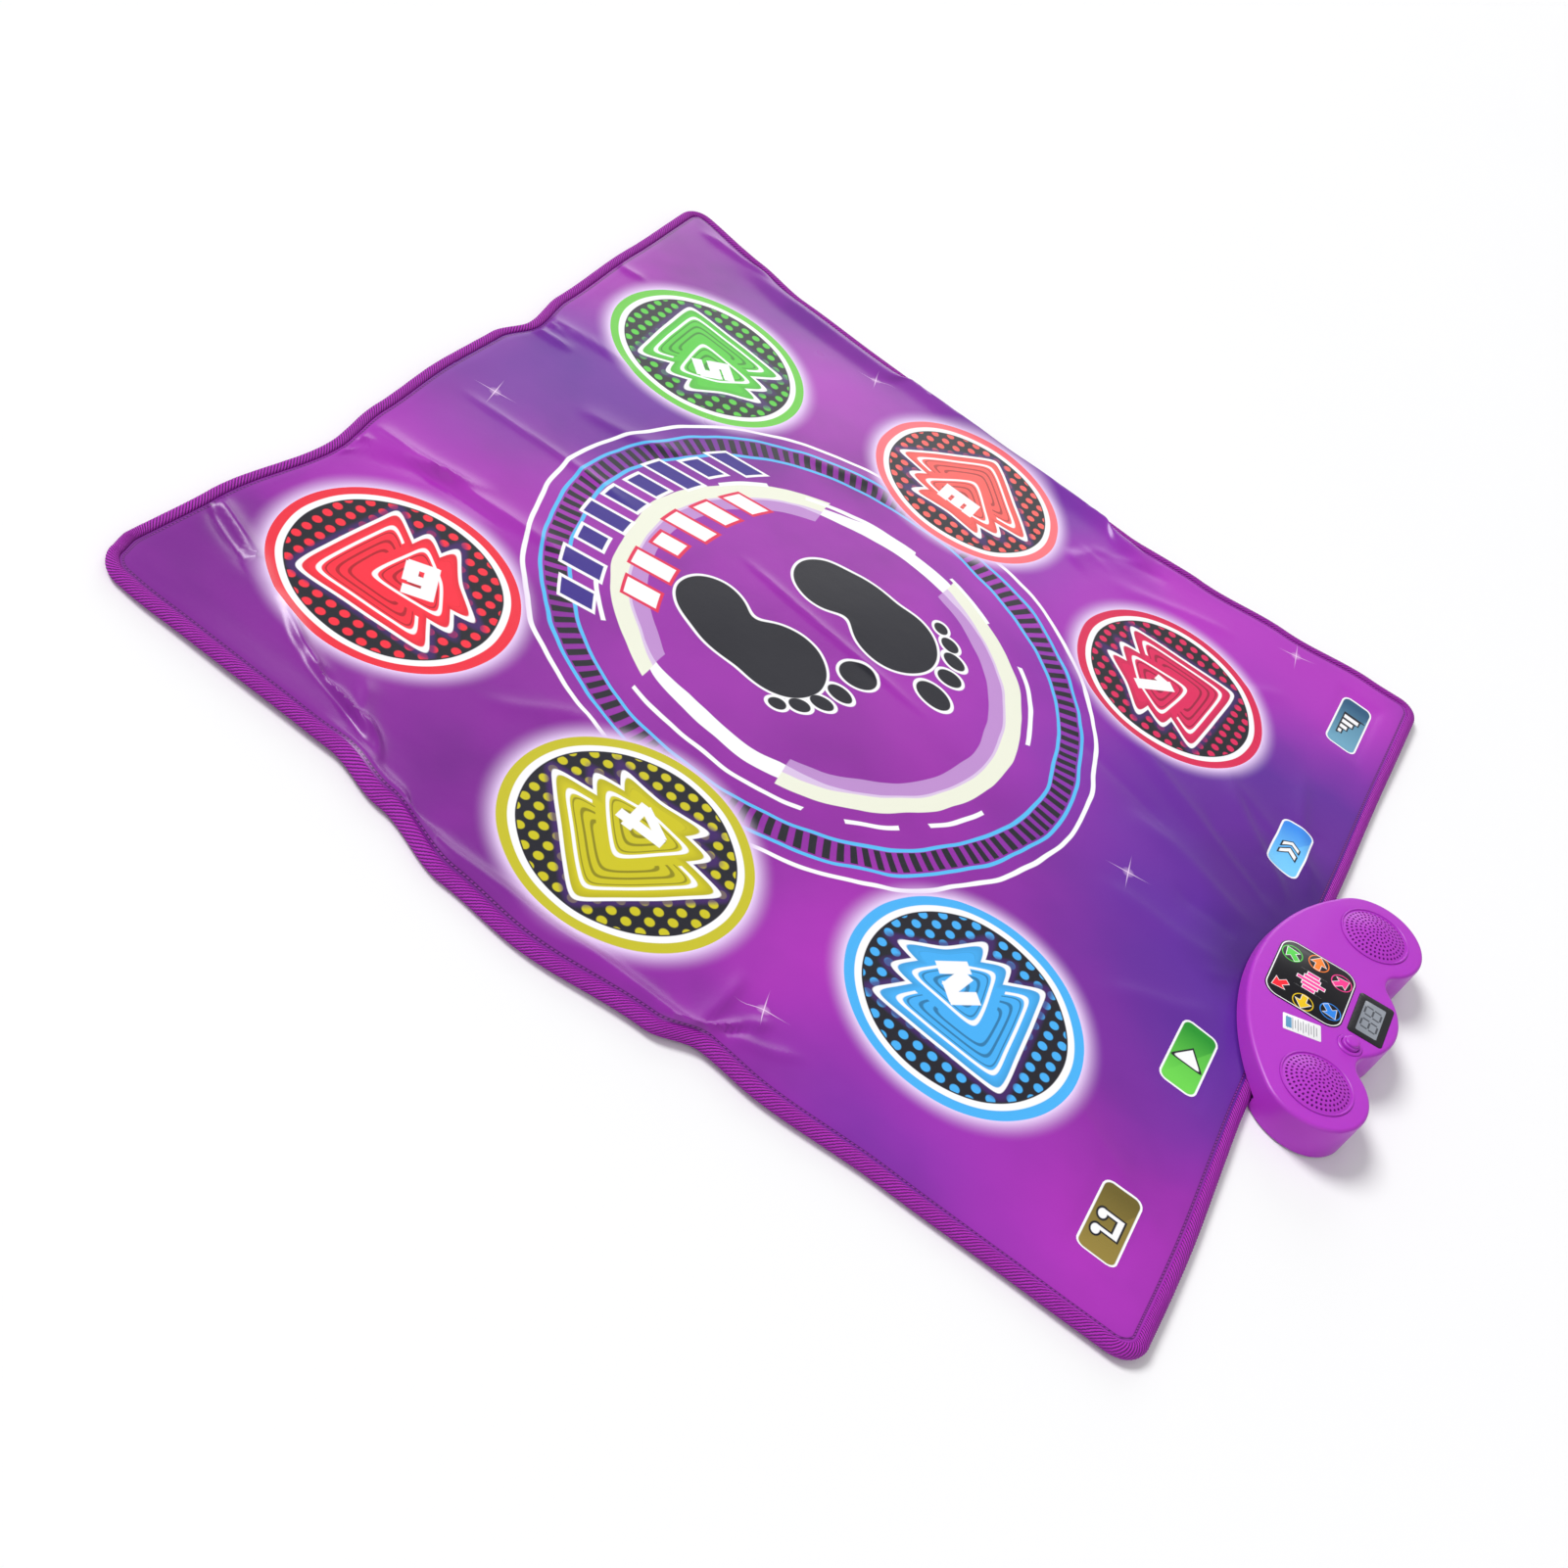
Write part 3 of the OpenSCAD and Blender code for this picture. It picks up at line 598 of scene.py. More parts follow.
artColours = {
    "purple": tint(146, 38, 164), "deepPurple": tint(100, 34, 146), "violet": tint(82, 40, 156),
    "magenta": tint(190, 52, 198), "plum": tint(118, 32, 140), "haze": tint(104, 66, 158),
    "white": tint(250, 250, 252), "halo": tint(232, 206, 246), "cream": tint(238, 240, 222),
    "lavender": tint(205, 165, 222), "skyLine": tint(86, 190, 246), "charcoal": tint(30, 30, 40),
    # the last colour is partly the print's darkest violet, partly painted shade of the folds beside the box
    "rimPurple": tint(70, 34, 110), "duskFoldShade": tint(64, 26, 112),
}
padColours = [tint(224, 34, 92), tint(70, 176, 246), tint(255, 98, 92), tint(206, 196, 28),
              tint(86, 204, 60), tint(255, 46, 66)]
padRingColours = [tint(220, 36, 84), tint(72, 178, 246), tint(250, 112, 122), tint(200, 192, 40),
                  tint(108, 204, 66), tint(240, 46, 66)]
# the way each arrow points and the way its number stands, in degrees on the mat
arrowTurns = [315, 225, 0, 180, 45, 135]
digitTurns = [315, 225, 90, 270, 315, 207]
ringCentre = (0.0, (padSpots[2].y + padSpots[3].y) / 2 + 1 * mm)

galaxySpots = [   # cloudy patches: x, y, radius (mm), colour, strength
    (250, -330, 210, "violet", 0.75), (90, -420, 190, "violet", 0.85), (430, -390, 90, "magenta", 0.75),
    (330, -110, 90, "magenta", 0.75), (400, -230, 120, "magenta", 0.85), (470, 60, 110, "haze", 0.55),
    (440, 250, 120, "haze", 0.45), (-250, -120, 90, "magenta", 0.5), (-330, -240, 110, "magenta", 0.6),
    (-430, -250, 90, "violet", 0.5), (-380, -420, 130, "magenta", 0.35), (-150, -330, 130, "deepPurple", 0.6),
    (-120, 360, 110, "magenta", 0.6), (20, 420, 100, "haze", 0.55), (-60, 60, 150, "magenta", 0.28),
    (60, -60, 130, "magenta", 0.35), (330, 200, 80, "magenta", 0.5), (250, 430, 90, "magenta", 0.35),
    (150, 300, 90, "violet", 0.5), (-420, 430, 120, "plum", 0.7), (-400, 220, 140, "plum", 0.5),
    (20, -250, 120, "magenta", 0.35), (-20, -330, 120, "violet", 0.5), (120, 400, 90, "violet", 0.4),
    (-150, -430, 80, "violet", 0.6), (30, -370, 120, "violet", 0.7), (180, -440, 90, "deepPurple", 0.8),
    (90, -350, 70, "deepPurple", 0.6), (-100, -30, 140, "plum", 0.4), (-350, 100, 140, "plum", 0.3),
    (400, -60, 90, "violet", 0.55),
    # the last three spots are partly the print's own dark violet, partly painted shade of the folds beside
    # the box's arc
    (-20, -400, 46, "duskFoldShade", 0.75), (56, -408, 50, "duskFoldShade", 0.7), (112, -436, 40, "duskFoldShade", 0.6),
]


def galaxy(art):
    # Cloudy purple print: soft patches broken up by noise, and three dark spots beside the box that are
    # partly print, partly painted shade of the folds there
    cloudy = art.wobbly(0.16, 5.0, 2.0)
    mist = art.noise(6.5, 3.0, 0.55)
    art.colour = art.ramp(mist, [(0.30, artColours["plum"]), (0.50, artColours["purple"]),
                                 (0.72, tint(164, 44, 178))])
    for x, y, radius, colour, strength in galaxySpots:
        patch = art.disc((x * mm, y * mm), radius * mm, cloudy)
        art.paint(patch.inside(radius * mm * 1.5), artColours[colour], strength)


def roundStar(art, spot, size):
    # Four thin rays and a small glow
    x, y = art.axes(art.placed(spot, math.radians(12), (size, size)))
    ax, ay = abs(x), abs(y)
    ray = (ax.least(ay) * 26.0 + ax.most(ay) * 1.0).run("MULTIPLY_ADD", -1.0, 1.0, clamp=True)
    glow = (x * x + y * y).run("MULTIPLY_ADD", -9.0, 0.55, clamp=True)
    art.paint(ray.run("POWER", 0.8).most(glow * 0.6), tint(255, 226, 255))


# each dash: radius, half length (mm), where on the circle (degrees)
ringDashes = [(201, 50, -61.5), (207, 30, 244), (207, 26, 220), (193, 31, -23), (187, 56, 16), (207, 80, 180),
              (193, 26, 53), (205, 26, 130)]
titleRows = [   # distance from the middle, from, to (mm), how many blocks, colour
    (246, -160, 152, 9, tint(58, 40, 140)), (190, -112, 112, 6, tint(228, 40, 84))]


def centreRings(art):
    drawn = art.wobbly(13 * mm, 14.0, 1.5)
    white, sky = artColours["white"], artColours["skyLine"]
    x, y = art.axes(art.placed(ringCentre, spot=drawn))
    away = (x * x + y * y).run("SQRT")
    angle = y.run("ARCTAN2", x)
    band = (away - 240 * mm).line(9.2 * mm)
    tick = (angle * (132 / (2 * math.pi))).run("FRACT")
    ticks = (tick - 0.5).line(0.27, 0.06)
    art.paint(band * ticks, artColours["charcoal"])
    for radius, half, colour in ((267, 2.1, white), (252.5, 1.7, sky), (228.5, 1.7, sky)):
        art.paint((away - radius * mm).line(half * mm), colour)
    # thick inner ring, narrow at the sides, with cream and lavender arcs near and far
    sides = abs(y).run("MULTIPLY_ADD", -1 / (60 * mm), 1.75, clamp=True)
    art.paint((abs(away - 176 * mm) - (sides * 6.5 * mm + 2.5 * mm)).inside(), white)
    for side, reach in ((-1, 50), (1, 82)):
        edge = (y * side - reach * mm).run("MULTIPLY_ADD", 1 / (0.8 * mm), 0.5, clamp=True)
        art.paint((away - 168 * mm).line(8.5 * mm) * edge, artColours["lavender"], 0.7)
        art.paint((away - 184 * mm).line(8.0 * mm) * edge, artColours["cream"])
    for radius, half, at in ringDashes:
        dash = art.arcDash(ringCentre, radius * mm, half * mm, 4.6 * mm, math.radians(at), drawn)
        art.paint(dash.inside(), white)


leftFoot = {   # each oval: x, y, half width, half length (mm), turn
    "sole": [(-57, 50, 43, 42, 0), (-66, 88, 31, 46, 6), (-51, 125, 33, 33, 0)],
    "toes": [(-12, -7, 16, 18, 24), (-47, -6, 8.5, 12, -4), (-71, 0, 8, 11, 14), (-90, 12, 7.5, 10, 26),
             (-105, 27, 6.5, 8.5, 36)],
}
rightFoot = {
    "sole": [(62, -8, 43, 42, 0), (77, 31, 30, 46, -6), (66, 67, 33, 33, 0)],
    "toes": [(27, -67, 13, 18, -14), (61, -68, 9.5, 12, 0), (85, -62, 8, 11.5, -14),
             (101, -50, 7.5, 9.5, -26), (114, -34, 6.5, 8, -36)],
}


def footprint(art, foot):
    drawn = art.wobbly(3 * mm, 22.0, 1.0)

    def oval(part):
        return art.oval((part[0] * mm, part[1] * mm), (part[2] * mm, part[3] * mm),
                        math.radians(part[4]), drawn)

    shape = None
    for part in foot["sole"]:
        shape = oval(part) if shape is None else shape.smoothLeast(oval(part), 16 * mm)
    for part in foot["toes"]:
        shape = shape.least(oval(part))
    art.paint((shape - 2.6 * mm).inside(), artColours["white"])
    art.paint(shape.inside(), artColours["charcoal"])


def titleBars(art):
    # Plain slanted blocks in two bent rows where a title would be printed
    for row, (y, low, high, count, colour) in enumerate(titleRows):
        step = (high - low) / count
        x, v = art.axes(art.placed(((low + step / 2) * mm, y * mm)))
        middle = x - (step * (count - 1) / 2) * mm
        v = v + middle * middle * 2.0
        slanted = x + v * 0.2
        cell = (slanted / (step * mm)).run("ADD", 0.5)
        index = cell.run("FLOOR")
        local = (cell - index - 0.5) * (step * mm)
        inRow = abs(slanted - (step * (count - 1) / 2) * mm) - (step * count / 2 - 1) * mm
        height = (index * 2.4).run("SINE") * 4 * mm
        half = step * 0.25 * mm
        block = (abs(local) - half).most(abs(v) - (height + 16 * mm)).most(inRow)
        art.paint((block - 3.2 * mm).inside(), artColours["white"] if row == 0 else colour)
        art.paint(block.inside(), colour if row == 0 else artColours["white"])


def filmFinish(art, rough=0.31):
    # Satin film over cloth: a fine weave and faint unevenness
    weave = art.noise(900.0, 1.0, 0.5)
    soft = art.noise(55.0, 3.0, 0.6)
    art.bump(weave * 0.25 + soft, 0.35 * mm, 0.35)
    uneven = art.noise(14.0, 2.0).run("MULTIPLY_ADD", 0.16, rough - 0.08)
    return art.finish(rough, uneven, **{"Specular IOR Level": 0.38})


starSpots = [(10, 398), (405, 183), (-388, -117), (-12, -287), (432, -322)]     # mm


def coverPrint():
    art = Drawing("coverPrint")
    galaxy(art)
    halo = None
    for spot in padSpots:
        ring = art.disc((spot.x, spot.y), 101 * mm)
        halo = ring if halo is None else halo.least(ring)
    centreRings(art)
    titleBars(art)
    footprint(art, leftFoot)
    footprint(art, rightFoot)
    for x, y in starSpots:
        roundStar(art, (x * mm, y * mm), 24 * mm)
    glow = halo.run("MULTIPLY_ADD", -1 / (17 * mm), 1.0, clamp=True)
    art.paint(glow * glow * 0.95, artColours["halo"])
    seam = art.block((0, 0), coverHalf, 0, 14 * mm) + 2.6 * mm
    along = art.axes(art.spot)
    stitch = ((along[0] + along[1]) / (3.6 * mm)).run("FRACT").run("SUBTRACT", 0.5)
    # a dark band along the seam by the binding: painted shade of the stitch groove there, with the thread's
    # stitches drawn over it
    art.paint(seam.line(0.9 * mm, 0.8 * mm), tint(44, 6, 62), 0.85)
    art.paint(seam.line(0.4 * mm) * stitch.line(0.32, 0.1), tint(176, 60, 190), 0.8)
    return filmFinish(art)


def arrowHead(u, v, tip, back, half, lean):
    # An arrowhead: tip on +u, back corners at v = half; the back leans in towards the middle
    side = ((u - tip * mm) * (half * mm) + v * ((tip - back) * mm)) / math.hypot(
        half * mm, (tip - back) * mm)
    rear = (v * -1 + half * mm) * -lean + (u * -1 + back * mm)
    return side.smoothMost(rear, 15 * mm)


digitBars = {   # each bar: x, y, half width, half length (mm), turn (degrees)
    1: [(0, 0, 6, 21, 0), (-7, 12, 6, 4.5, 38)],
    2: [(0, 14, 13, 5.5, 0), (8, 8, 5.5, 9, 0), (0, -1, 6, 13, -58), (-1, -14, 14, 5.5, 0)],
    3: [(0, 14.5, 12, 5, 0), (0, 0, 9, 5, 0), (0, -14.5, 12, 5, 0), (8, 0, 5.5, 19.5, 0)],
    4: [(7, 0, 4.5, 20, 0), (0, -8.5, 15, 4, 0), (-4.5, 5, 4, 15, -34)],
    5: [(0, 14.5, 12.5, 5, 0), (-8, 8, 5, 9, 0), (0, 1.5, 12.5, 5, 0), (8, -6, 5, 10, 0),
        (-1, -14.5, 11.5, 5, 0)],
    6: [(0, 14.5, 12, 5, 0), (-8, 0, 5.5, 19, 0), (8, -6.5, 5.5, 11, 0), (0, 1, 9, 4.5, 0),
        (0, -15, 12, 4.5, 0)],
}


def digitShape(art, number, centre, turn):
    shape = None
    for x, y, wide, long, lean in digitBars[number]:
        bar = art.block((x * mm, y * mm), (wide * mm, long * mm), math.radians(lean),
                        spot=art.placed(centre, turn))
        shape = bar if shape is None else shape.least(bar)
    return shape


padArt = {   # all in mm
    "radius": 100,
    "rim": 8.8, "whiteAt": 8.4, "discAt": 14.2, "dotsFrom": 15.5,
    "dotPitch": 12.9, "dotRadius": 4.0,
    # each arrowhead: where its tip and its back lie, half width, lean of the back
    "heads": [(82, -13, 79, 0.18), (42, -36, 56, 0.18), (9, -58, 43, -0.16)],
    "whiteEdge": 1.5, "colourEdge": 1.6, "contourPitch": 6.0, "innerLine": 9.5,
    "digitBack": [19, 19, 25, 25, 19, 19],     # how far each number stands behind the middle
}


def padPrint(index):
    art = Drawing(f"padPrint{index + 1}")
    colour, ringColour = padColours[index], padRingColours[index]
    spot = (padSpots[index].x, padSpots[index].y)
    radius, step = padArt["radius"] * mm, padArt["dotPitch"] * mm
    turn = math.radians(arrowTurns[index])
    white, charcoal = artColours["white"], artColours["charcoal"]
    drawn = art.wobbly(4.5 * mm, 13.0, 1.0)
    wavyRim = art.disc(spot, radius, drawn)
    art.colour = ringColour
    art.paint((wavyRim * -1 - 0.6 * mm).inside(3 * mm), artColours["halo"])
    art.paint((abs(wavyRim + 4.2 * mm) - padArt["rim"] / 2 * mm).inside(), ringColour)
    art.paint((wavyRim + padArt["whiteAt"] * mm).inside(), white)
    art.paint((wavyRim + padArt["discAt"] * mm).inside(), charcoal)
    # straight rows of round dots
    dotX, dotY = (((away / step).run("ADD", 0.5).run("FRACT") - 0.5) * step
                  for away in art.axes(art.placed(spot)))
    dots = (dotX * dotX + dotY * dotY).run("SQRT") - padArt["dotRadius"] * mm
    inBand = (wavyRim + padArt["dotsFrom"] * mm).inside()
    art.paint(dots.inside(0.9 * mm) * inBand, colour)
    # three arrowheads, one behind another
    u, v = art.axes(art.placed(spot, turn, spot=drawn))
    v = (v * v + (6 * mm) ** 2).run("SQRT")
    front, middle, rear = (arrowHead(u, v, *head) for head in padArt["heads"])
    shape = front.least(middle).least(rear)
    art.paint((shape - 6.0 * mm).inside(4 * mm) * inBand, artColours["rimPurple"], 0.8)
    art.paint((shape - padArt["whiteEdge"] * mm).inside(), white)
    art.paint((shape + padArt["colourEdge"] * mm).inside(), tuple(c * 0.82 for c in colour))
    art.paint((shape + 5.0 * mm).inside(4 * mm), colour)
    # darker contour lines inside each head, and its white inner line
    dark = tuple(c * 0.42 for c in colour)
    inner = padArt["innerLine"] * mm

    def contours(head, pitch, half, soft):
        return ((head / (pitch * mm)).run("FRACT") - 0.5).line(half, soft)

    def outside(mask):
        return mask.inside().run("MULTIPLY_ADD", -1.0, 1.0)

    frontInner, middleInner = front + inner, middle + inner
    art.paint(contours(frontInner, padArt["contourPitch"], 0.16, 0.1) * (frontInner + 3 * mm).inside()
              * outside(middle), dark, 0.95)
    art.paint(frontInner.line(1.35 * mm) * outside(middle - 2 * mm), white)
    art.paint(contours(rear + 8 * mm, 5.4, 0.13, 0.14) * (rear + 6 * mm).inside()
              * outside(middle) * outside(front), dark, 0.8)
    art.paint(contours(middleInner, padArt["contourPitch"], 0.16, 0.1)
              * (middleInner + 3 * mm).inside(), dark, 0.95)
    art.paint(middleInner.line(1.35 * mm), white)
    back = padArt["digitBack"][index]
    centre = (spot[0] - back * mm * math.cos(turn), spot[1] - back * mm * math.sin(turn))
    number = digitShape(art, index + 1, centre, math.radians(digitTurns[index] - 90))
    art.paint((number - 0.4 * mm).inside(), white)
    return filmFinish(art)


keyColours = [(tint(110, 96, 40), tint(150, 130, 60)), (tint(36, 150, 44), tint(110, 216, 80)),
              (tint(54, 140, 236), tint(120, 206, 255)), (tint(40, 88, 124), tint(112, 168, 196))]


def keyPrint(index):
    art = Drawing(f"keyPrint{index + 1}")
    spot, half = keySpots[index], keyHalf[index]
    dark, light = keyColours[index]
    art.colour = artColours["white"]
    edge = art.block((spot.x, spot.y), (half.x, half.y), 0, keyCorner)
    x, y = art.axes(art.placed((spot.x, spot.y)))
    fade = x.run("MULTIPLY_ADD", 1 / (2 * half.x), 0.5, clamp=True)
    shade = art.ramp(fade, [(0.1, light), (0.9, dark)])
    art.paint((edge + 1.7 * mm).inside(), shade)
    gloss = (x * 0.55 + y * 1.0 + 3 * mm).run("MULTIPLY_ADD", -1 / (1.0 * mm), 0.5, clamp=True)
    art.paint(gloss * (edge + 1.7 * mm).inside(), light, 0.45)
    # a generic mark for what the key does
    white, ink = artColours["white"], tint(24, 24, 34)
    ax, ay = abs(x), abs(y)
    if index == 0:      # a note: two stems, a beam and two heads
        mark = (abs(ax - 8 * mm) - 1.5 * mm).most(abs(y) - 8 * mm)
        mark = mark.least((ax - 9.5 * mm).most(abs(y + 7.5 * mm) - 2.4 * mm))
        mark = mark.least(art.oval((spot.x + 5 * mm, spot.y + 7.5 * mm), (4.6 * mm, 3.5 * mm)))
        mark = mark.least(art.oval((spot.x - 11 * mm, spot.y + 7.5 * mm), (4.6 * mm, 3.5 * mm)))
    elif index == 1:    # a triangle
        mark = (ay * 0.8 + x * 0.6 - 6 * mm).smoothMost(x * -1 - 7 * mm, 5 * mm)
    elif index == 2:    # two chevrons
        mark = (abs(x + ay * 0.8 - 6 * mm) - 2.2 * mm).least(abs(x + ay * 0.8 + 4 * mm) - 2.2 * mm)
        mark = mark.most(ay - 8 * mm)
    else:               # rising bars
        step = 7.5 * mm
        cell = (x / step).run("ADD", 2.0)
        number = cell.run("FLOOR")
        local = abs((cell - number - 0.5) * step) - 2.4 * mm
        tall = number * (4.2 * mm) - 4.5 * mm
        mark = local.most((y * -1) - tall).most(y - 8 * mm).most(ax - 15 * mm)
    art.paint((mark - 1.6 * mm).inside(), ink)
    art.paint(mark.inside(), white)
    return filmFinish(art, 0.3)


def backingCloth():
    # Dark non-slip cloth with rows of small rubber dots
    art = Drawing("backingCloth")
    x, y = art.axes(art.spot)
    step = 7 * mm
    row = (y / step).run("FLOOR")
    shift = (row * 0.5).run("FRACT")
    dotX = (((x / step) + shift).run("FRACT") - 0.5) * step
    dotY = ((y / step).run("FRACT") - 0.5) * step
    dot = (dotX * dotX + dotY * dotY).run("SQRT") - 1.2 * mm
    art.colour = tint(46, 46, 50)
    art.paint(art.noise(500.0, 2.0), tint(66, 66, 72), 0.6)
    art.paint(dot.inside(0.4 * mm), tint(24, 24, 27))
    art.bump(dot.inside(1.0 * mm) + art.noise(1400.0, 1.0) * 0.3, 0.5 * mm, 0.6)
    return art.finish(0.85)


def twillTape():
    # Twisted woven tape: slanting ribs along the edge
    art = Drawing("twillTape", "tape")
    x, y = art.axes(art.wobbly(0.5 * mm, 300.0))
    ribs = ((x + y * 1.15) / (3.3 * mm)).run("FRACT")
    rib = (abs(ribs - 0.5) * 2.0).run("MULTIPLY_ADD", -1.0, 1.0)
    threads = art.noise(1500.0, 2.0, 0.6)
    # the rib crests take the tape's magenta; this dark base colour, left in the grooves between them, is
    # painted shade
    art.colour = tint(74, 8, 88)
    art.paint((rib + threads * 0.5).run("MULTIPLY_ADD", 1.5, -0.45, clamp=True), tint(182, 34, 190))
    art.paint((threads * 1.0 - 0.62).run("MULTIPLY", 5.0, clamp=True), tint(216, 96, 224), 0.4)
    art.bump(rib.run("POWER", 0.6) + threads * 0.35, 0.9 * mm, 0.8)
    return art.finish(0.62, **{"Specular IOR Level": 0.3})


def foamFiller():
    art = Drawing("foamFiller", None)
    art.colour = tint(226, 224, 216)
    cells = art.noise(700.0, 2.0)
    art.paint(cells.run("GREATER_THAN", 0.55), tint(200, 198, 190), 0.5)
    art.bump(cells, 0.4 * mm, 0.6)
    return art.finish(0.9)


def filmSheet():
    art = Drawing("filmSheet")
    art.colour = tint(222, 224, 228)
    x, y = art.axes(art.spot)
    track = ((x / (34 * mm)).run("FRACT") - 0.5).line(0.05, 0.02)
    art.paint(track, tint(70, 72, 78), 0.8)
    return art.finish(0.35)


# The mat, layer by layer

layers = {   # low and high side of each layer under the cover
    "backing": (0.0, 1.2 * mm), "film": (1.22 * mm, 1.6 * mm), "foam": (1.65 * mm, coverLow - 0.15 * mm),
    "foamHalf": 417 * mm,      # the foam stops short of the rolled edges
    "clampRoom": 3 * mm,
}
coverGrid = FlatGrid(matShape["gridStep"], coverHalf)
splitY = coverGrid.snap((padSpots[2].y + padSpots[3].y) / 2, 1)
plainGrid = FlatGrid(6 * mm, coverHalf)
foamGrid = FlatGrid(5 * mm, coverHalf, inset=5 * mm)
plainGrid.areas = []
panels = {"near": (-1, nearFoldY), "middle": (nearFoldY, farFoldY), "far": (farFoldY, 1)}


def bendOverFold(obj, half):
    # The near half crosses the middle fold, the far half the far fold; only the placement is baked into the
    # mesh, nothing bends
    bodies, y = (("near_panel", "middle_panel"), nearFoldY) if half == "Near" else (
        ("middle_panel", "far_panel"), farFoldY)
    y - foldBand
    y + foldBand
    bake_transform(obj)


def inHalf(half, y):
    return y < splitY if half == "Near" else y > splitY


def halfLength(half):
    return splitY + coverHalf[1] if half == "Near" else coverHalf[1] - splitY


def offClamp(x, y):
    # Outside the pocket that the clamp plate lies in
    low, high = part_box("clamp_plate")
    room = layers["clampRoom"]
    return (x < low.x - room) | (x > high.x + room) | (y < low.y - room) | (y > high.y + room)


def layerNodes(kind, half):
    return [f"{kind}_near", f"{kind}_middle"] if half == "Near" else [f"{kind}_far"]


coverArt, backArt, foamArt, filmArt = coverPrint(), backingCloth(), foamFiller(), filmSheet()
for half in ("Near", "Far"):
    obj, flat = cutSlab(f"backing{half}", plainGrid, lambda x, y: inHalf(half, y) & offClamp(x, y),
                        *layers["backing"], backArt)
    bendOverFold(obj, half)
    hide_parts(*layerNodes("backing", half))
    length = halfLength(half)
    obj, flat = cutSlab(f"cover{half}", coverGrid,
                        lambda x, y: inHalf(half, y) & (coverGrid.areaOf(x, y) == ""),
                        coverLow, coverTop, coverArt, rise=1.0, dent=1.0, lowDent=1.0)
    bendOverFold(obj, half)
    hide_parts(*layerNodes("cover", half))
print("cover and backing made")

for panel, (low, high) in panels.items():
    def inPanel(x, y):
        return (y > low + 4 * mm) & (y < high - 4 * mm) & (abs(y) < coverHalf[1] - 1 * mm) & (
            abs(x) < coverHalf[0] - 1 * mm) & offClamp(x, y)

    foam, flat = cutSlab(f"foam{panel.capitalize()}", foamGrid,
                         lambda x, y: inPanel(x, y) & (abs(x) < layers["foamHalf"])
                         & (foamGrid.areaOf(x, y) == ""), *layers["foam"], foamArt, dent=1.0)
    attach(foam, f"{panel}_panel")
    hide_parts(f"foam_{panel}")
    film, flat = cutSlab(f"circuit{panel.capitalize()}", plainGrid, inPanel, *layers["film"], filmArt)
    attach(film, f"{panel}_panel")
    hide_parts(f"circuit_{panel}")
print("foam and circuit film made")


def pressPatch(name, area, art, node, reach):
    # A patch of the cover over a pad or key; how far its middle would give way, still at its rim, is worked
    # out but not applied
    obj, flat = cutSlab(name, coverGrid, lambda x, y: coverGrid.areaOf(x, y) == area,
                        coverLow, coverTop, art, rise=1.0, dent=1.0, lowDent=1.0)
    spot = centreOf(node)
    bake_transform(obj)
    away = np.hypot(flat[:, 0] - spot.x, flat[:, 1] - spot.y)
    if reach is None:
        half = keyHalf[keyNames.index(area)]
        away = np.maximum(np.abs(flat[:, 0] - spot.x) - half.x, np.abs(flat[:, 1] - spot.y) - half.y)
        weight = ease(-away / (6 * mm))
    else:
        weight = ease((padRadius - away) / reach)
    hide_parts(node)
    return obj


for i in range(6):
    pressPatch(f"pad{i + 1}Cover", padNames[i], padPrint(i), padNames[i],
               12 * mm)
for i, name in enumerate(keyNames):
    pressPatch(f"{name}KeyCover", name, keyPrint(i), f"{name}_key",
               None)
print("pads and keys made")

tapeShape = {
    # inset from the outline and height, from the inner top edge over to the inner low edge
    "profile": [(10.3, 6.9), (10.3, 7.9), (9.2, 8.75), (7.6, 9.2), (6.0, 9.35), (4.4, 9.1), (2.9, 8.5),
                (1.6, 7.5), (0.6, 6.2), (0.1, 4.6), (0.2, 3.0), (0.9, 1.6), (2.1, 0.5), (4.0, 0.0),
                (7.2, 0.0), (10.3, 0.0)],
    "alongStep": 1.15 * mm,
    "ribPitch": 3.3 * mm,
    "ribDepth": 0.5 * mm,
}


def tapePath():
    # Points of the rounded outline with their outward directions, at even steps
    corner = matShape["cornerRadius"]
    straight = (halfWide - corner, halfLong - corner)
    quarter = math.pi * corner / 2
    lengths = [2 * straight[1], quarter, 2 * straight[0], quarter] * 2
    total = sum(lengths)
    count = round(total / tapeShape["alongStep"])
    rows = []
    for i in range(count):
        s = total * i / count
        part = 0
        while s > lengths[part]:
            s -= lengths[part]
            part += 1
        side, turn = part // 2, part % 2
        angle = side * math.pi / 2
        if turn:
            angle += s / corner
        n = (math.cos(angle), math.sin(angle))
        if turn:
            c = [(1, 1), (-1, 1), (-1, -1), (1, -1)][side]
            p = (c[0] * straight[0] + corner * n[0], c[1] * straight[1] + corner * n[1])
        else:
            run = s - lengths[part] / 2
            reach = (halfWide, halfLong)[side % 2]
            p = (n[0] * reach - n[1] * run, n[1] * reach + n[0] * run)
        rows.append((*p, *n, total * i / count))
    return np.array(rows), total


padsInHalf = 3
tapeArt = twillTape()
tapeRows, tapeTotal = tapePath()
profile = np.array(tapeShape["profile"]) * mm
girth = np.concatenate([[0], np.cumsum(np.hypot(*np.diff(profile, axis=0).T))])
rings, around = len(tapeRows), len(profile)
pitch = tapeTotal / round(tapeTotal / tapeShape["ribPitch"])
phase = (tapeRows[:, 4][:, None] + girth[None, :] * 1.15) / pitch
rib = (0.5 - 0.5 * np.cos(2 * math.pi * phase)) ** 0.6
mean = profile.mean(axis=0)
outwards = (profile - mean) / np.linalg.norm(profile - mean, axis=1)[:, None]
exposed = ease((profile[:, 1] - 0.4 * mm) / (2 * mm)) * (np.arange(around) > 0)
lift = (rib - 0.7) * tapeShape["ribDepth"] * exposed[None, :]
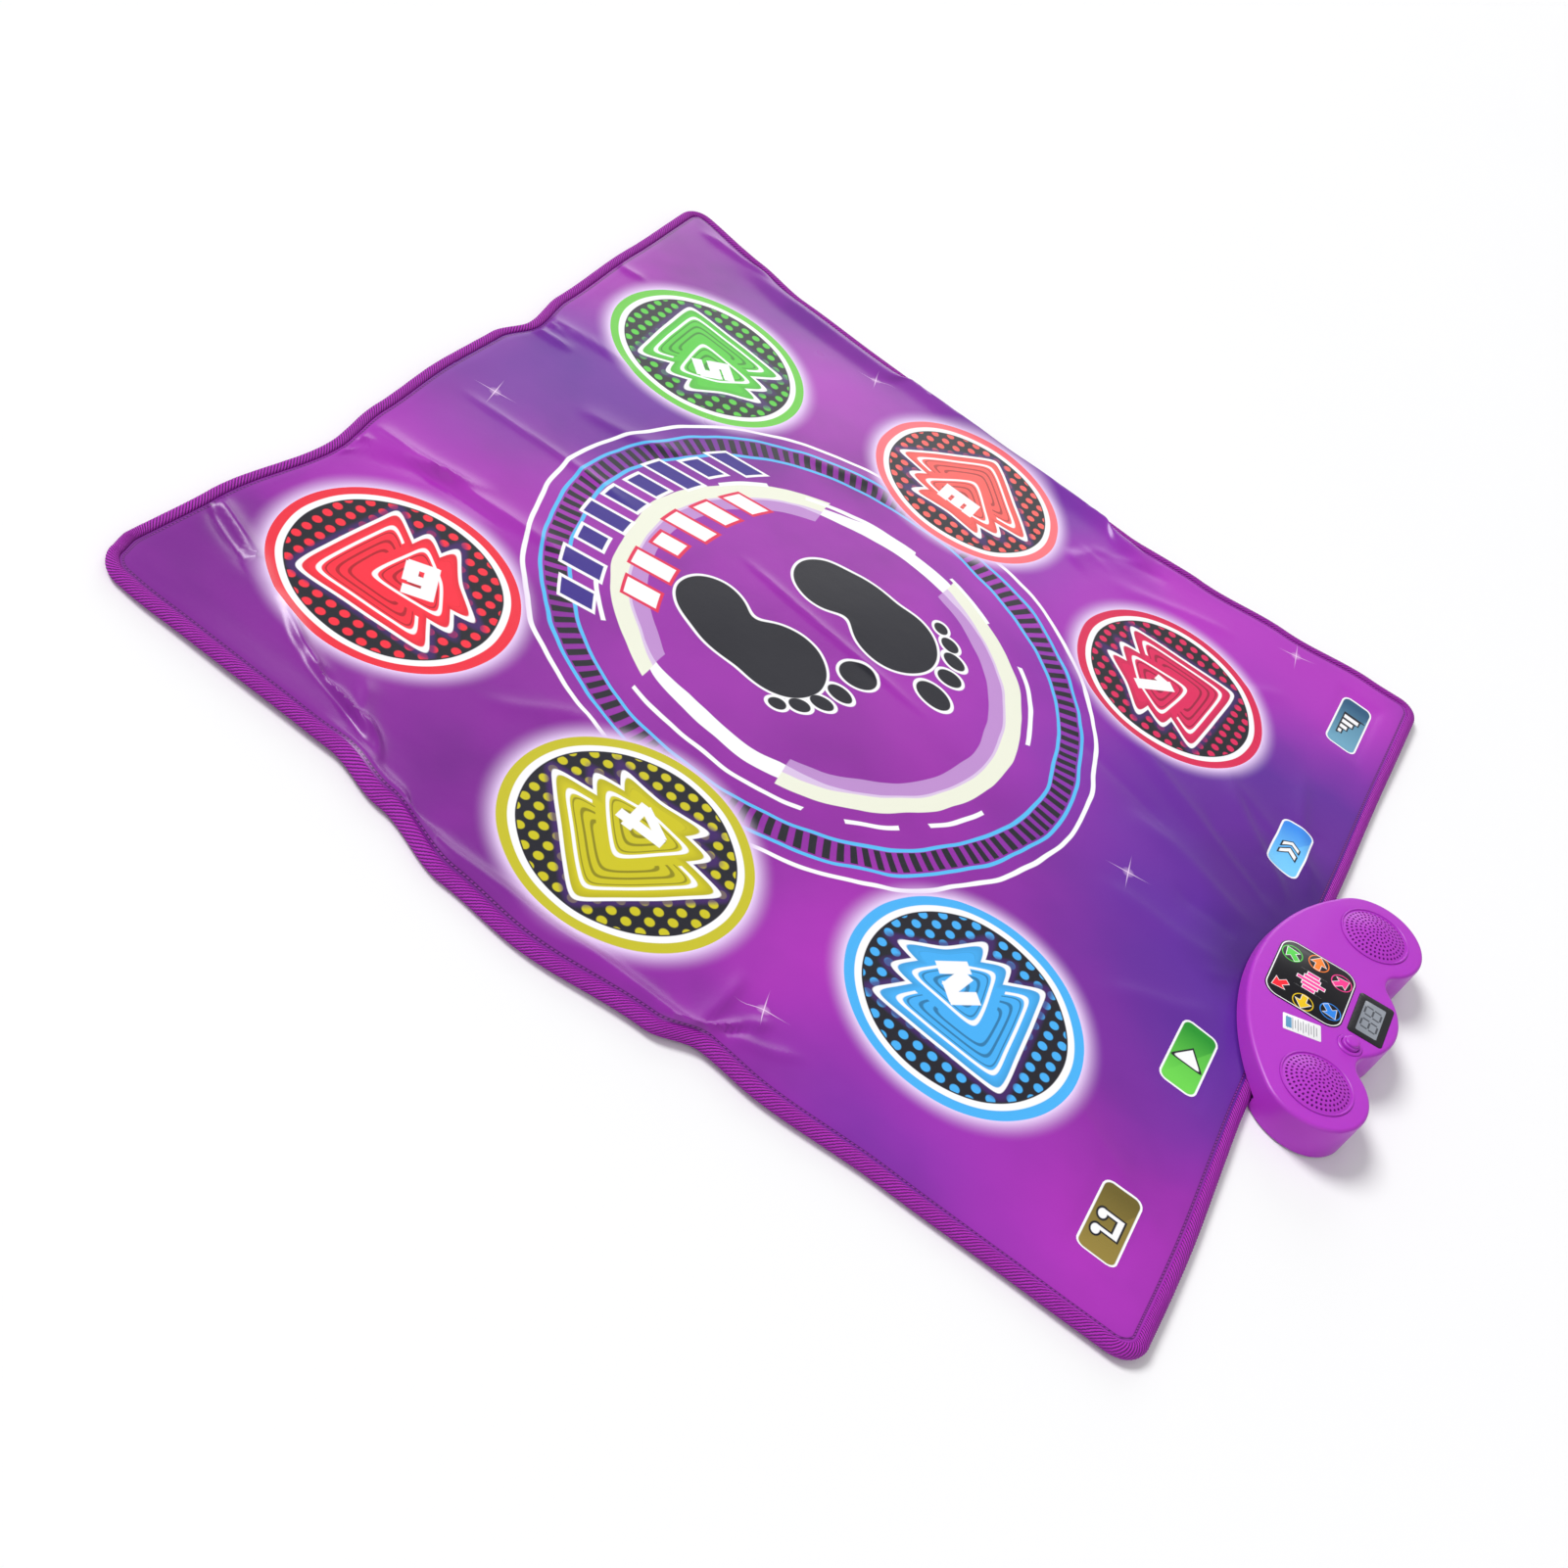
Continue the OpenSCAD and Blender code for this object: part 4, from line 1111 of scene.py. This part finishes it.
inset = profile[None, :, 0] - outwards[None, :, 0] * lift
height = profile[None, :, 1] + outwards[None, :, 1] * lift
flatX = tapeRows[:, 0][:, None] - tapeRows[:, 2][:, None] * inset
flatY = tapeRows[:, 1][:, None] - tapeRows[:, 3][:, None] * inset
tapeFlat = np.stack([flatX.ravel(), flatY.ravel()], 1)
tapePlaces = shapeLayer(tapeFlat, height.ravel())
for half in ("Near", "Far"):
    bm = bmesh.new()
    verts = [bm.verts.new(p) for p in tapePlaces]
    layer = bm.loops.layers.uv.new("tape")
    for i in range(rings):
        if not inHalf(half, (tapeRows[i, 1] + tapeRows[(i + 1) % rings, 1]) / 2):
            continue
        for j in range(around):
            a, b = i * around + j, i * around + (j + 1) % around
            c, d = ((i + 1) % rings) * around + (j + 1) % around, ((i + 1) % rings) * around + j
            face = bm.faces.new([verts[k] for k in (a, d, c, b)])
            s0, s1 = tapeRows[i, 4], tapeRows[i, 4] + tapeTotal / rings
            v0, v1 = girth[j], girth[j + 1] if j + 1 < around else girth[j] + 8 * mm
            for loop, uv in zip(face.loops, ((s0, v0), (s1, v0), (s1, v1), (s0, v1))):
                loop[layer].uv = uv
    bmesh.ops.delete(bm, geom=[v for v in bm.verts if not v.link_faces], context="VERTS")
    bmesh.ops.holes_fill(bm, edges=[e for e in bm.edges if e.is_boundary], sides=0)
    bmesh.ops.recalc_face_normals(bm, faces=bm.faces[:])
    obj = keepMesh(f"binding{half}", bm, tapeArt, 60)
    bendOverFold(obj, half)
    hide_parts(*layerNodes("binding", half))
for half in ("Near", "Far"):
    length = halfLength(half)
    ["foamNear", "foamMiddle"] if half == "Near" else ["foamMiddle", "foamFar"]
    2 * coverHalf[0] * length - padsInHalf * math.pi * padRadius ** 2
print("binding made")


# The control box, drawn in a frame on its sloping top

topMatrix = (Matrix.Translation((*boxShape["centre"], boxShape["height"]))
             @ Matrix.Rotation(math.radians(-boxShape["tilt"]), 4, "X"))


def arcPoints(centre, radius, start, end, count):
    return [(centre[0] + radius * math.cos(start + (end - start) * i / count),
             centre[1] + radius * math.sin(start + (end - start) * i / count)) for i in range(count + 1)]


def boxOutline(inset):
    # Two round lobes, a big arc on the mat's side and a bump between two notches
    s = boxShape
    arc, bump = Vector((0, s["arcReach"] - boxArcRadius)), Vector((0, s["bumpY"]))
    lobe = Vector((s["lobeX"], 0))
    span = lobe - bump
    lobeGap, bumpGap = s["lobeRadius"] + s["notchRadius"], s["bumpRadius"] + s["notchRadius"]
    along = (bumpGap ** 2 - lobeGap ** 2 + span.length_squared) / (2 * span.length)
    drop = math.sqrt(bumpGap ** 2 - along ** 2)
    way = span.normalized()
    notch = bump + along * way + drop * Vector((way.y, -way.x))

    def angle(v):
        return math.atan2(v.y, v.x)

    quarter = math.pi / 2
    half = (arcPoints(bump, s["bumpRadius"] - inset, -quarter, angle(notch - bump), 16)
            + arcPoints(notch, s["notchRadius"] + inset, angle(bump - notch), angle(lobe - notch), 14)[1:]
            + arcPoints(lobe, s["lobeRadius"] - inset, angle(notch - lobe), angle(lobe - arc), 48)[1:]
            + arcPoints(arc, boxArcRadius - inset, angle(lobe - arc), quarter, 30)[1:])
    return half + [(-x, y) for x, y in half[-2:0:-1]]


def roundedOutline(width, length, radius, inset=0.0, centre=(0, 0), steps=8):
    r = max(radius - inset, 0.05 * mm)
    w, l = width / 2 - inset - r, length / 2 - inset - r
    quarter = math.pi / 2
    points = []
    for i, (cx, cy) in enumerate(((w, l), (-w, l), (-w, -l), (w, -l))):
        points += arcPoints((cx + centre[0], cy + centre[1]), r, i * quarter, (i + 1) * quarter, steps)
    return points


def circleOutline(radius, centre=(0, 0), steps=48):
    return arcPoints(centre, radius, 0, 2 * math.pi * (steps - 1) / steps, steps - 1)


def joinRings(bm, rings, closed=False):
    # Faces between rings of points; the ends are capped unless the rings close on themselves
    made = [[bm.verts.new(p) for p in ring] for ring in rings]
    count = len(made[0])
    pairs = list(zip(made, made[1:] + [made[0]])) if closed else list(zip(made, made[1:]))
    for low, high in pairs:
        for i in range(count):
            bm.faces.new((low[i], low[(i + 1) % count], high[(i + 1) % count], high[i]))
    if not closed:
        bm.faces.new(made[0][::-1])
        bm.faces.new(made[-1])


def onTop(bm, turn=0.0, at=(0, 0)):
    # UVs from the local layout, then into place on the box's top
    layer = bm.loops.layers.uv.new("flat")
    for face in bm.faces:
        for loop in face.loops:
            loop[layer].uv = loop.vert.co.xy
    bmesh.ops.recalc_face_normals(bm, faces=bm.faces[:])
    bm.transform(topMatrix @ Matrix.Translation((*at, 0)) @ Matrix.Rotation(math.radians(turn), 4, "Z"))


def slabOnTop(name, outline, profile, material, turn=0.0, at=(0, 0), closed=False, sharp=35):
    bm = bmesh.new()
    joinRings(bm, [[(x, y, z) for x, y in outline(inset)] for inset, z in profile], closed)
    onTop(bm, turn, at)
    return keepMesh(name, bm, material, sharp)


def cutAway(obj, *cutters):
    # Cuts solids out of a piece and throws the cutters away
    for cutter in cutters:
        change = obj.modifiers.new("cut", "BOOLEAN")
        change.operation, change.solver, change.object = "DIFFERENCE", "EXACT", cutter
    done = bpy.data.meshes.new_from_object(obj.evaluated_get(bpy.context.evaluated_depsgraph_get()))
    obj.modifiers.clear()
    old, obj.data = obj.data, done
    done.name = old.name
    bpy.data.meshes.remove(old)
    for cutter in cutters:
        mesh = cutter.data
        bpy.data.objects.remove(cutter)
        bpy.data.meshes.remove(mesh)
    done.polygons.foreach_set("use_smooth", [True] * len(done.polygons))
    done.set_sharp_from_angle(angle=math.radians(32))


def plastic(name, colour, rough=0.32, grain=0.25, **values):
    # Moulded plastic: a fine grain and slight unevenness
    art = Drawing(name, None)
    art.colour = colour
    soft = art.noise(28.0, 3.0)
    art.paint((soft - 0.35).run("MULTIPLY", 0.5, clamp=True), tuple(c * 0.86 for c in colour))
    art.bump(art.noise(2600.0, 1.0) + soft * 0.5, 0.05 * mm, grain)
    return art.finish(rough, soft.run("MULTIPLY_ADD", 0.12, rough - 0.06), **values)


def metal(name, colour, rough=0.3):
    art = Drawing(name, None)
    art.colour = colour
    brushed = art.noise(900.0, 3.0)
    art.bump(brushed, 0.02 * mm, 0.3)
    return art.finish(rough, brushed.run("MULTIPLY_ADD", 0.2, rough - 0.1), Metallic=1.0)


purplePlastic = plastic("purplePlastic", tint(178, 50, 196), 0.36, **{
    "Specular IOR Level": 0.4, "Subsurface Weight": 0.06, "Subsurface Scale": 0.004})
blackPlastic = plastic("blackPlastic", tint(26, 26, 30), 0.25)


def shellSolid(name, profile, material=None):
    # Rings of the outline; a height counts from the floor or, where it is said, from the sloping top
    s = boxShape
    slope = math.tan(math.radians(s["tilt"]))
    bm = bmesh.new()
    rings = []
    for inset, height, fromTop in profile:
        ring = []
        for x, y in boxOutline(inset):
            z = s["height"] - y * slope + height if fromTop else height
            ring.append((x + s["centre"][0], y + s["centre"][1], z))
        rings.append(ring)
    joinRings(bm, rings)
    bmesh.ops.recalc_face_normals(bm, faces=bm.faces[:])
    return keepMesh(name, bm, material)


def blockSolid(low, high):
    bm = bmesh.new()
    bmesh.ops.create_cube(bm, size=1.0)
    bmesh.ops.scale(bm, verts=bm.verts, vec=[b - a for a, b in zip(low, high)])
    bmesh.ops.translate(bm, verts=bm.verts, vec=[(a + b) / 2 for a, b in zip(low, high)])
    return keepMesh("cutter", bm, None)


def drumOnTop(radius, low, high, at, steps=64):
    return slabOnTop("cutter", lambda inset: circleOutline(radius, steps=steps), [(0, low), (0, high)], None,
                     at=at)


# width, length and corner radius of each rounded shape, and its place on the top
grilleShape = {
    "dome": 5.4 * mm, "reach": 29.2 * mm, "thick": 1.3 * mm,
    "pitch": 3.75 * mm, "hole": 1.12 * mm, "rings": 7, "twist": 0.12, "opening": 28.6 * mm, "seat": 31.6 * mm,
}
buttonShape = {
    "at": (-42 * mm, -13 * mm), "opening": 7.8 * mm, "seat": 11.3 * mm,
    # radius and height (mm)
    "collar": [(7.9, -0.5), (7.9, 0.9), (8.2, 1.2), (10.0, 1.2), (10.7, 0.7), (10.9, 0.0), (11.2, -0.5)],
    "cap": [(9, -4.0), (9, -2.8), (7.45, -2.7), (7.45, 2.9), (7.25, 3.5), (6.7, 3.85), (6.15, 3.95),
            (6.0, 4.3), (6.0, 5.4), (5.75, 5.9), (5.2, 6.3), (4.2, 6.48), (2.2, 6.55), (0.3, 6.56)],
}
displayShape = {
    "at": (0, -21.6 * mm), "opening": (46 * mm, 25 * mm, 2 * mm), "seat": (52.6 * mm, 31.6 * mm, 3.3 * mm),
    "bezel": (52 * mm, 31 * mm, 3 * mm), "view": (40 * mm, 19 * mm, 1.5 * mm),
    "window": (39.8 * mm, 18.8 * mm, 1.4 * mm),
}
panelShape = {"at": (2 * mm, 34 * mm), "size": (76 * mm, 70 * mm, 14 * mm)}
labelShape = {"at": (-53 * mm, 27 * mm), "turn": 16, "size": (18 * mm, 33 * mm, 1 * mm)}


def recess(size, depth):
    return slabOnTop("cutter", lambda inset: roundedOutline(*size), [(0, -depth), (0, 2 * mm)], None,
                     at=displayShape["at"])


def topShell():
    box = boxShape
    edge, draft, wall, foot = box["edgeRadius"], box["draft"], box["wall"], box["footHeight"]
    roundEdge = [(edge * (1 - math.cos(a)), edge * (math.sin(a) - 1), True)
                 for a in [math.radians(d) for d in range(0, 91, 15)]]
    shell = shellSolid("boxTop", [(-draft, foot, False), (-draft * 0.9, foot + 2 * mm, False)] + roundEdge,
                       purplePlastic)
    hollow = shellSolid("cutter", [(wall - draft, 0, False), (wall, -wall - 2 * mm, True),
                                   (wall + 1 * mm, -wall, True)])
    overMat = blockSolid((-0.5, -halfLong - 0.8 * mm, -0.01), (0.5, 0, box["overMat"] + 1.6 * mm))
    cutters = [hollow, overMat, drumOnTop(buttonShape["opening"], -6 * mm, 8 * mm, buttonShape["at"]),
               drumOnTop(buttonShape["seat"], -0.5 * mm, 5 * mm, buttonShape["at"])]
    for side in (-1, 1):
        at = (side * box["lobeX"], 0)
        cutters += [drumOnTop(grilleShape["opening"], -6 * mm, 1 * mm, at),
                    drumOnTop(grilleShape["seat"], -1.2 * mm, 1 * mm, at)]
    cutters += [recess(displayShape["opening"], 6 * mm), recess(displayShape["seat"], 0.9 * mm)]
    cutAway(shell, *cutters)
    return shell


shell = topShell()
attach(shell, "near_panel")
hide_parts("upper_shell")
print("box shell made")


def grille(side):
    g = grilleShape
    radius = (g["reach"] ** 2 + g["dome"] ** 2) / (2 * g["dome"])
    outer, inner = [], []
    for i in range(13):
        r = g["reach"] * (1 - i / 12)
        z = math.sqrt(radius ** 2 - r ** 2) - radius + g["dome"]
        outer.append((max(r, 0.4 * mm), z))
        inner.append((max(r - 1 * mm, 0.4 * mm), z - g["thick"]))
    rim = [(2.2, -1.15), (2.2, 0.7), (1.9, 1.1), (1.2, 1.25), (0.7, 0.9), (0.4, 0.1)]
    profile = [(g["reach"] + past * mm, z * mm) for past, z in rim] + outer
    bm = bmesh.new()
    rows = [[(x, y, z) for x, y in circleOutline(r, steps=72)] for r, z in profile]
    under = [[(x, y, z) for x, y in circleOutline(r, steps=72)] for r, z in inner[::-1]]
    joinRings(bm, rows + under, closed=True)
    onTop(bm, at=(side * boxShape["lobeX"], 0))
    obj = keepMesh("leftGrille" if side < 0 else "rightGrille", bm, purplePlastic, 40)
    bm = bmesh.new()
    spots = [(0, 0)]
    for k in range(1, g["rings"] + 1):
        for i in range(6 * k):
            angle = 2 * math.pi * i / (6 * k) + g["twist"] * k
            spots.append((g["pitch"] * k * math.cos(angle), g["pitch"] * k * math.sin(angle)))
    for x, y in spots:
        joinRings(bm, [[(px, py, z) for px, py in circleOutline(g["hole"], (x, y), 10)]
                       for z in (-4 * mm, 8 * mm)])
    onTop(bm, at=(side * boxShape["lobeX"], 0))
    cutAway(obj, keepMesh("cutter", bm, None))
    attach(obj, "near_panel")
    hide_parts("speaker_grille_left" if side < 0 else "speaker_grille_right")


grille(-1)
grille(1)
print("grilles made")



def turnedOnTop(name, profile, closed=False):
    rings = [(r * mm, z * mm) for r, z in profile]
    return slabOnTop(name, lambda inset: circleOutline(inset, steps=64), rings, purplePlastic,
                     at=buttonShape["at"], closed=closed)


collar = turnedOnTop("buttonCollar", buttonShape["collar"], closed=True)
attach(collar, "near_panel")
button = turnedOnTop("roundButton", buttonShape["cap"])
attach(button, "button")
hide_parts("power_button")


def bezelOutline(inset):
    # Beyond 3 mm the outline jumps to the window's edge
    if inset < 3 * mm:
        return roundedOutline(*displayShape["bezel"], inset)
    return roundedOutline(*displayShape["view"], inset - 6 * mm)


bezel = slabOnTop("displayBezel", bezelOutline,
                  [(0, -0.85 * mm), (0, 0.2 * mm), (0.15 * mm, 0.45 * mm), (0.5 * mm, 0.6 * mm),
                   (5.7 * mm, 0.6 * mm), (6 * mm, 0.3 * mm), (6 * mm, -0.85 * mm)],
                  blackPlastic, at=displayShape["at"], closed=True)
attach(bezel, "near_panel")
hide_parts("display_bezel")


def displayFace():
    art = Drawing("displayFace")
    art.colour = tint(156, 162, 172)
    x, y = art.axes(art.spot)
    art.paint((y * 30 + 0.5).run("MULTIPLY", 1.0, clamp=True), tint(96, 100, 108), 0.6)
    flatBars = [(0, y, 3.9 if y else 3.7, 0.85, 0) for y in (7.2, 0, -7.2)]
    tallBars = [(x, y, 0.85, 3.0, -6) for x in (-5, 5) for y in (3.6, -3.6)]
    for place in (-8, 8):
        for barX, barY, wide, long, lean in flatBars + tallBars:
            centre = ((place + barX + barY * 0.12) * mm, barY * mm)
            bar = art.block(centre, (wide * mm, long * mm), math.radians(lean), 0.5 * mm)
            art.paint(bar.inside(0.2 * mm), tint(40, 42, 50), 0.8)
    return art.finish(0.18)


window = slabOnTop("displayWindow", lambda inset: roundedOutline(*displayShape["window"], inset),
                   [(0, -0.85 * mm), (0, 0.1 * mm), (0.2 * mm, 0.2 * mm)], displayFace(),
                   at=displayShape["at"])
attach(window, "near_panel")
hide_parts("display_window")


def iconFace():
    # Six small arrows round a generic emblem, on a black shield
    art = Drawing("iconFace")
    art.colour = tint(20, 18, 24)
    white = artColours["white"]
    icons = [((-21, 23), 135, tint(255, 40, 56), 0), ((21, 23), 45, tint(70, 200, 60), 1),
             ((-27.5, 0), 180, tint(240, 200, 30), 1), ((27.5, 0), 0, tint(255, 130, 40), 1),
             ((-20, -23), 225, tint(50, 140, 240), 1), ((20, -23), 315, tint(255, 60, 150), 1)]
    for (x, y), turn, colour, circled in icons:
        centre = (x * mm, y * mm)
        if circled:
            art.paint(art.disc(centre, 9.0 * mm).line(0.45 * mm, 0.2 * mm), colour)
        u, v = art.axes(art.placed(centre, math.radians(turn), (1.3, 1.3)))
        head = (u * 0.62 + abs(v) * 0.78 - 3.8 * mm).most(u * -1 - 0.6 * mm)
        stem = (abs(v) - 1.9 * mm).most(abs(u + 3.2 * mm) - 3.0 * mm)
        arrow = head.least(stem)
        art.paint((arrow - 0.35 * mm).inside(0.2 * mm), white)
        art.paint(arrow.inside(0.2 * mm), colour)
    x, y = art.axes(art.spot)
    step = 4.6 * mm
    cell = (x / step).run("ADD", 0.5)
    number = cell.run("FLOOR")
    local = abs((cell - number - 0.5) * step) - 1.6 * mm
    tall = (number * 1.9).run("COSINE") * 4.0 * mm + 8.5 * mm
    bars = local.most(abs(y) - tall).most(abs(x) - 11 * mm)
    art.paint((bars - 0.6 * mm).inside(0.2 * mm), white)
    art.paint(bars.inside(0.2 * mm), tint(255, 70, 160))
    art.paint(art.block((0, 0), (36.6 * mm, 33.6 * mm), 0, 12.6 * mm).line(0.45 * mm, 0.2 * mm), white)
    return art.finish(0.3, **{"Specular IOR Level": 0.3})


panel = slabOnTop("iconPanel", lambda inset: roundedOutline(*panelShape["size"], inset),
                  [(0, 0.02 * mm), (0, 0.3 * mm), (0.3 * mm, 0.5 * mm)], iconFace(), at=panelShape["at"])
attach(panel, "near_panel")
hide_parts("icon_panel")


def labelFace():
    art = Drawing("labelFace")
    art.colour = tint(240, 240, 242)
    x, y = art.axes(art.spot)
    rows = ((y / (2.3 * mm)).run("FRACT") - 0.5).line(0.2, 0.08)
    length = (y * 4100).run("SINE") * 1.6 * mm + 5.6 * mm
    inRows = (abs(x) - length).inside(0.3 * mm) * (abs(y) - 14 * mm).inside(0.3 * mm)
    art.paint(rows * inRows, tint(120, 120, 128), 0.75)
    heading = art.block((0, 11.5 * mm), (6 * mm, 2.5 * mm), 0, 0.5 * mm)
    art.paint(heading.inside(0.3 * mm), tint(90, 150, 190))
    return art.finish(0.4)


label = slabOnTop("labelSticker", lambda inset: roundedOutline(*labelShape["size"], inset),
                  [(0, 0.02 * mm), (0, 0.2 * mm), (0.1 * mm, 0.25 * mm)], labelFace(),
                  turn=labelShape["turn"], at=labelShape["at"])
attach(label, "near_panel")
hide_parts("label_sticker")
print("box trim made")


# Materials of the parts kept as designed

rubber = plastic("softRubber", tint(60, 60, 64), 0.8, 0.4)
grey = plastic("greyPlastic", tint(150, 150, 156), 0.5)
board = plastic("circuitBoard", tint(24, 96, 52), 0.4)
steel = metal("screwSteel", tint(176, 176, 180))
spring = metal("springMetal", tint(214, 204, 176), 0.25)
cell = plastic("cellJacket", tint(206, 150, 60), 0.3)
lamp = plastic("lampPlastic", tint(240, 230, 220), 0.2)
cone = plastic("speakerCone", tint(30, 30, 34), 0.7, 0.5)
puck = plastic("pressurePad", tint(196, 198, 204), 0.6)
keptNodes = {
    "lower_shell": purplePlastic, "battery_door": purplePlastic, "arrow_leds": lamp, "battery_cells": cell,
    "battery_contacts": spring, "board_screws": steel, "clamp_plate": grey, "clamp_screws": steel,
    "display_module": grey, "main_board": board, "power_switch": blackPlastic, "ribbon_tail": grey,
    "rubber_feet": rubber, "shell_screws": steel, "speaker_left": cone, "speaker_right": cone,
}
for i in range(6):
    keptNodes[f"pad_puck_{i + 1}"] = puck
for name in keyNames:
    keptNodes[f"{name}_puck"] = puck
for name, material in keptNodes.items():
    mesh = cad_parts[name].data
    mesh.materials.clear()
    mesh.materials.append(material)
print("materials given")


# Floor, light and camera

def floorFinish():
    art = Drawing("studioFloor", None)
    art.colour = (0.93, 0.93, 0.94)
    art.paint(art.noise(2.0, 2.0), (0.95, 0.95, 0.95), 0.5)
    return art.finish(0.75)


bm = bmesh.new()
bmesh.ops.create_grid(bm, x_segments=8, y_segments=8, size=12.0)
floor = keepMesh("floor", bm, floorFinish())
floor.location.z = -0.2 * mm

lights = {
    # where it shines from, how wide it looks (degrees), strength
    "highSun": ((0.15, 1.15, 1.2), 22, 2.3),
    "backSun": ((1.2, 0.35, 0.42), 30, 0.42),
    "frontSun": ((-1.2, -0.9, 1.3), 60, 0.5),
}
for name, (place, width, power) in lights.items():
    light = bpy.data.lights.new(name, "SUN")
    light.energy, light.angle = power, math.radians(width)
    lampObject = bpy.data.objects.new(name, light)
    lampObject.location = place
    lampObject.rotation_euler = (-Vector(place)).to_track_quat("-Z", "Y").to_euler()
    bpy.context.scene.collection.objects.link(lampObject)

world = bpy.data.worlds.new("studio")
bpy.context.scene.world = world
world.use_nodes = True
background = world.node_tree.nodes["Background"]
background.inputs["Color"].default_value = (1.0, 1.0, 1.0, 1)
background.inputs["Strength"].default_value = 0.4
bpy.context.scene.view_settings.view_transform = "Standard"

view = {
    "place": (-1.3179, -0.1479, 1.0159),
    "aim": (-0.1704, -0.0204, 0.0),
    "roll": 32.24,             # degrees, about the line of sight
    "lens": 44.77, "sensor": 36,
}
camera = bpy.data.objects.new("camera", bpy.data.cameras.new("camera"))
bpy.context.scene.collection.objects.link(camera)
camera.data.lens, camera.data.sensor_width = view["lens"], view["sensor"]
facing = (Vector(view["aim"]) - Vector(view["place"])).to_track_quat("-Z", "Y")
camera.matrix_world = (Matrix.Translation(view["place"]) @ facing.to_matrix().to_4x4()
                       @ Matrix.Rotation(math.radians(view["roll"]), 4, "Z"))
bpy.context.scene.camera = camera
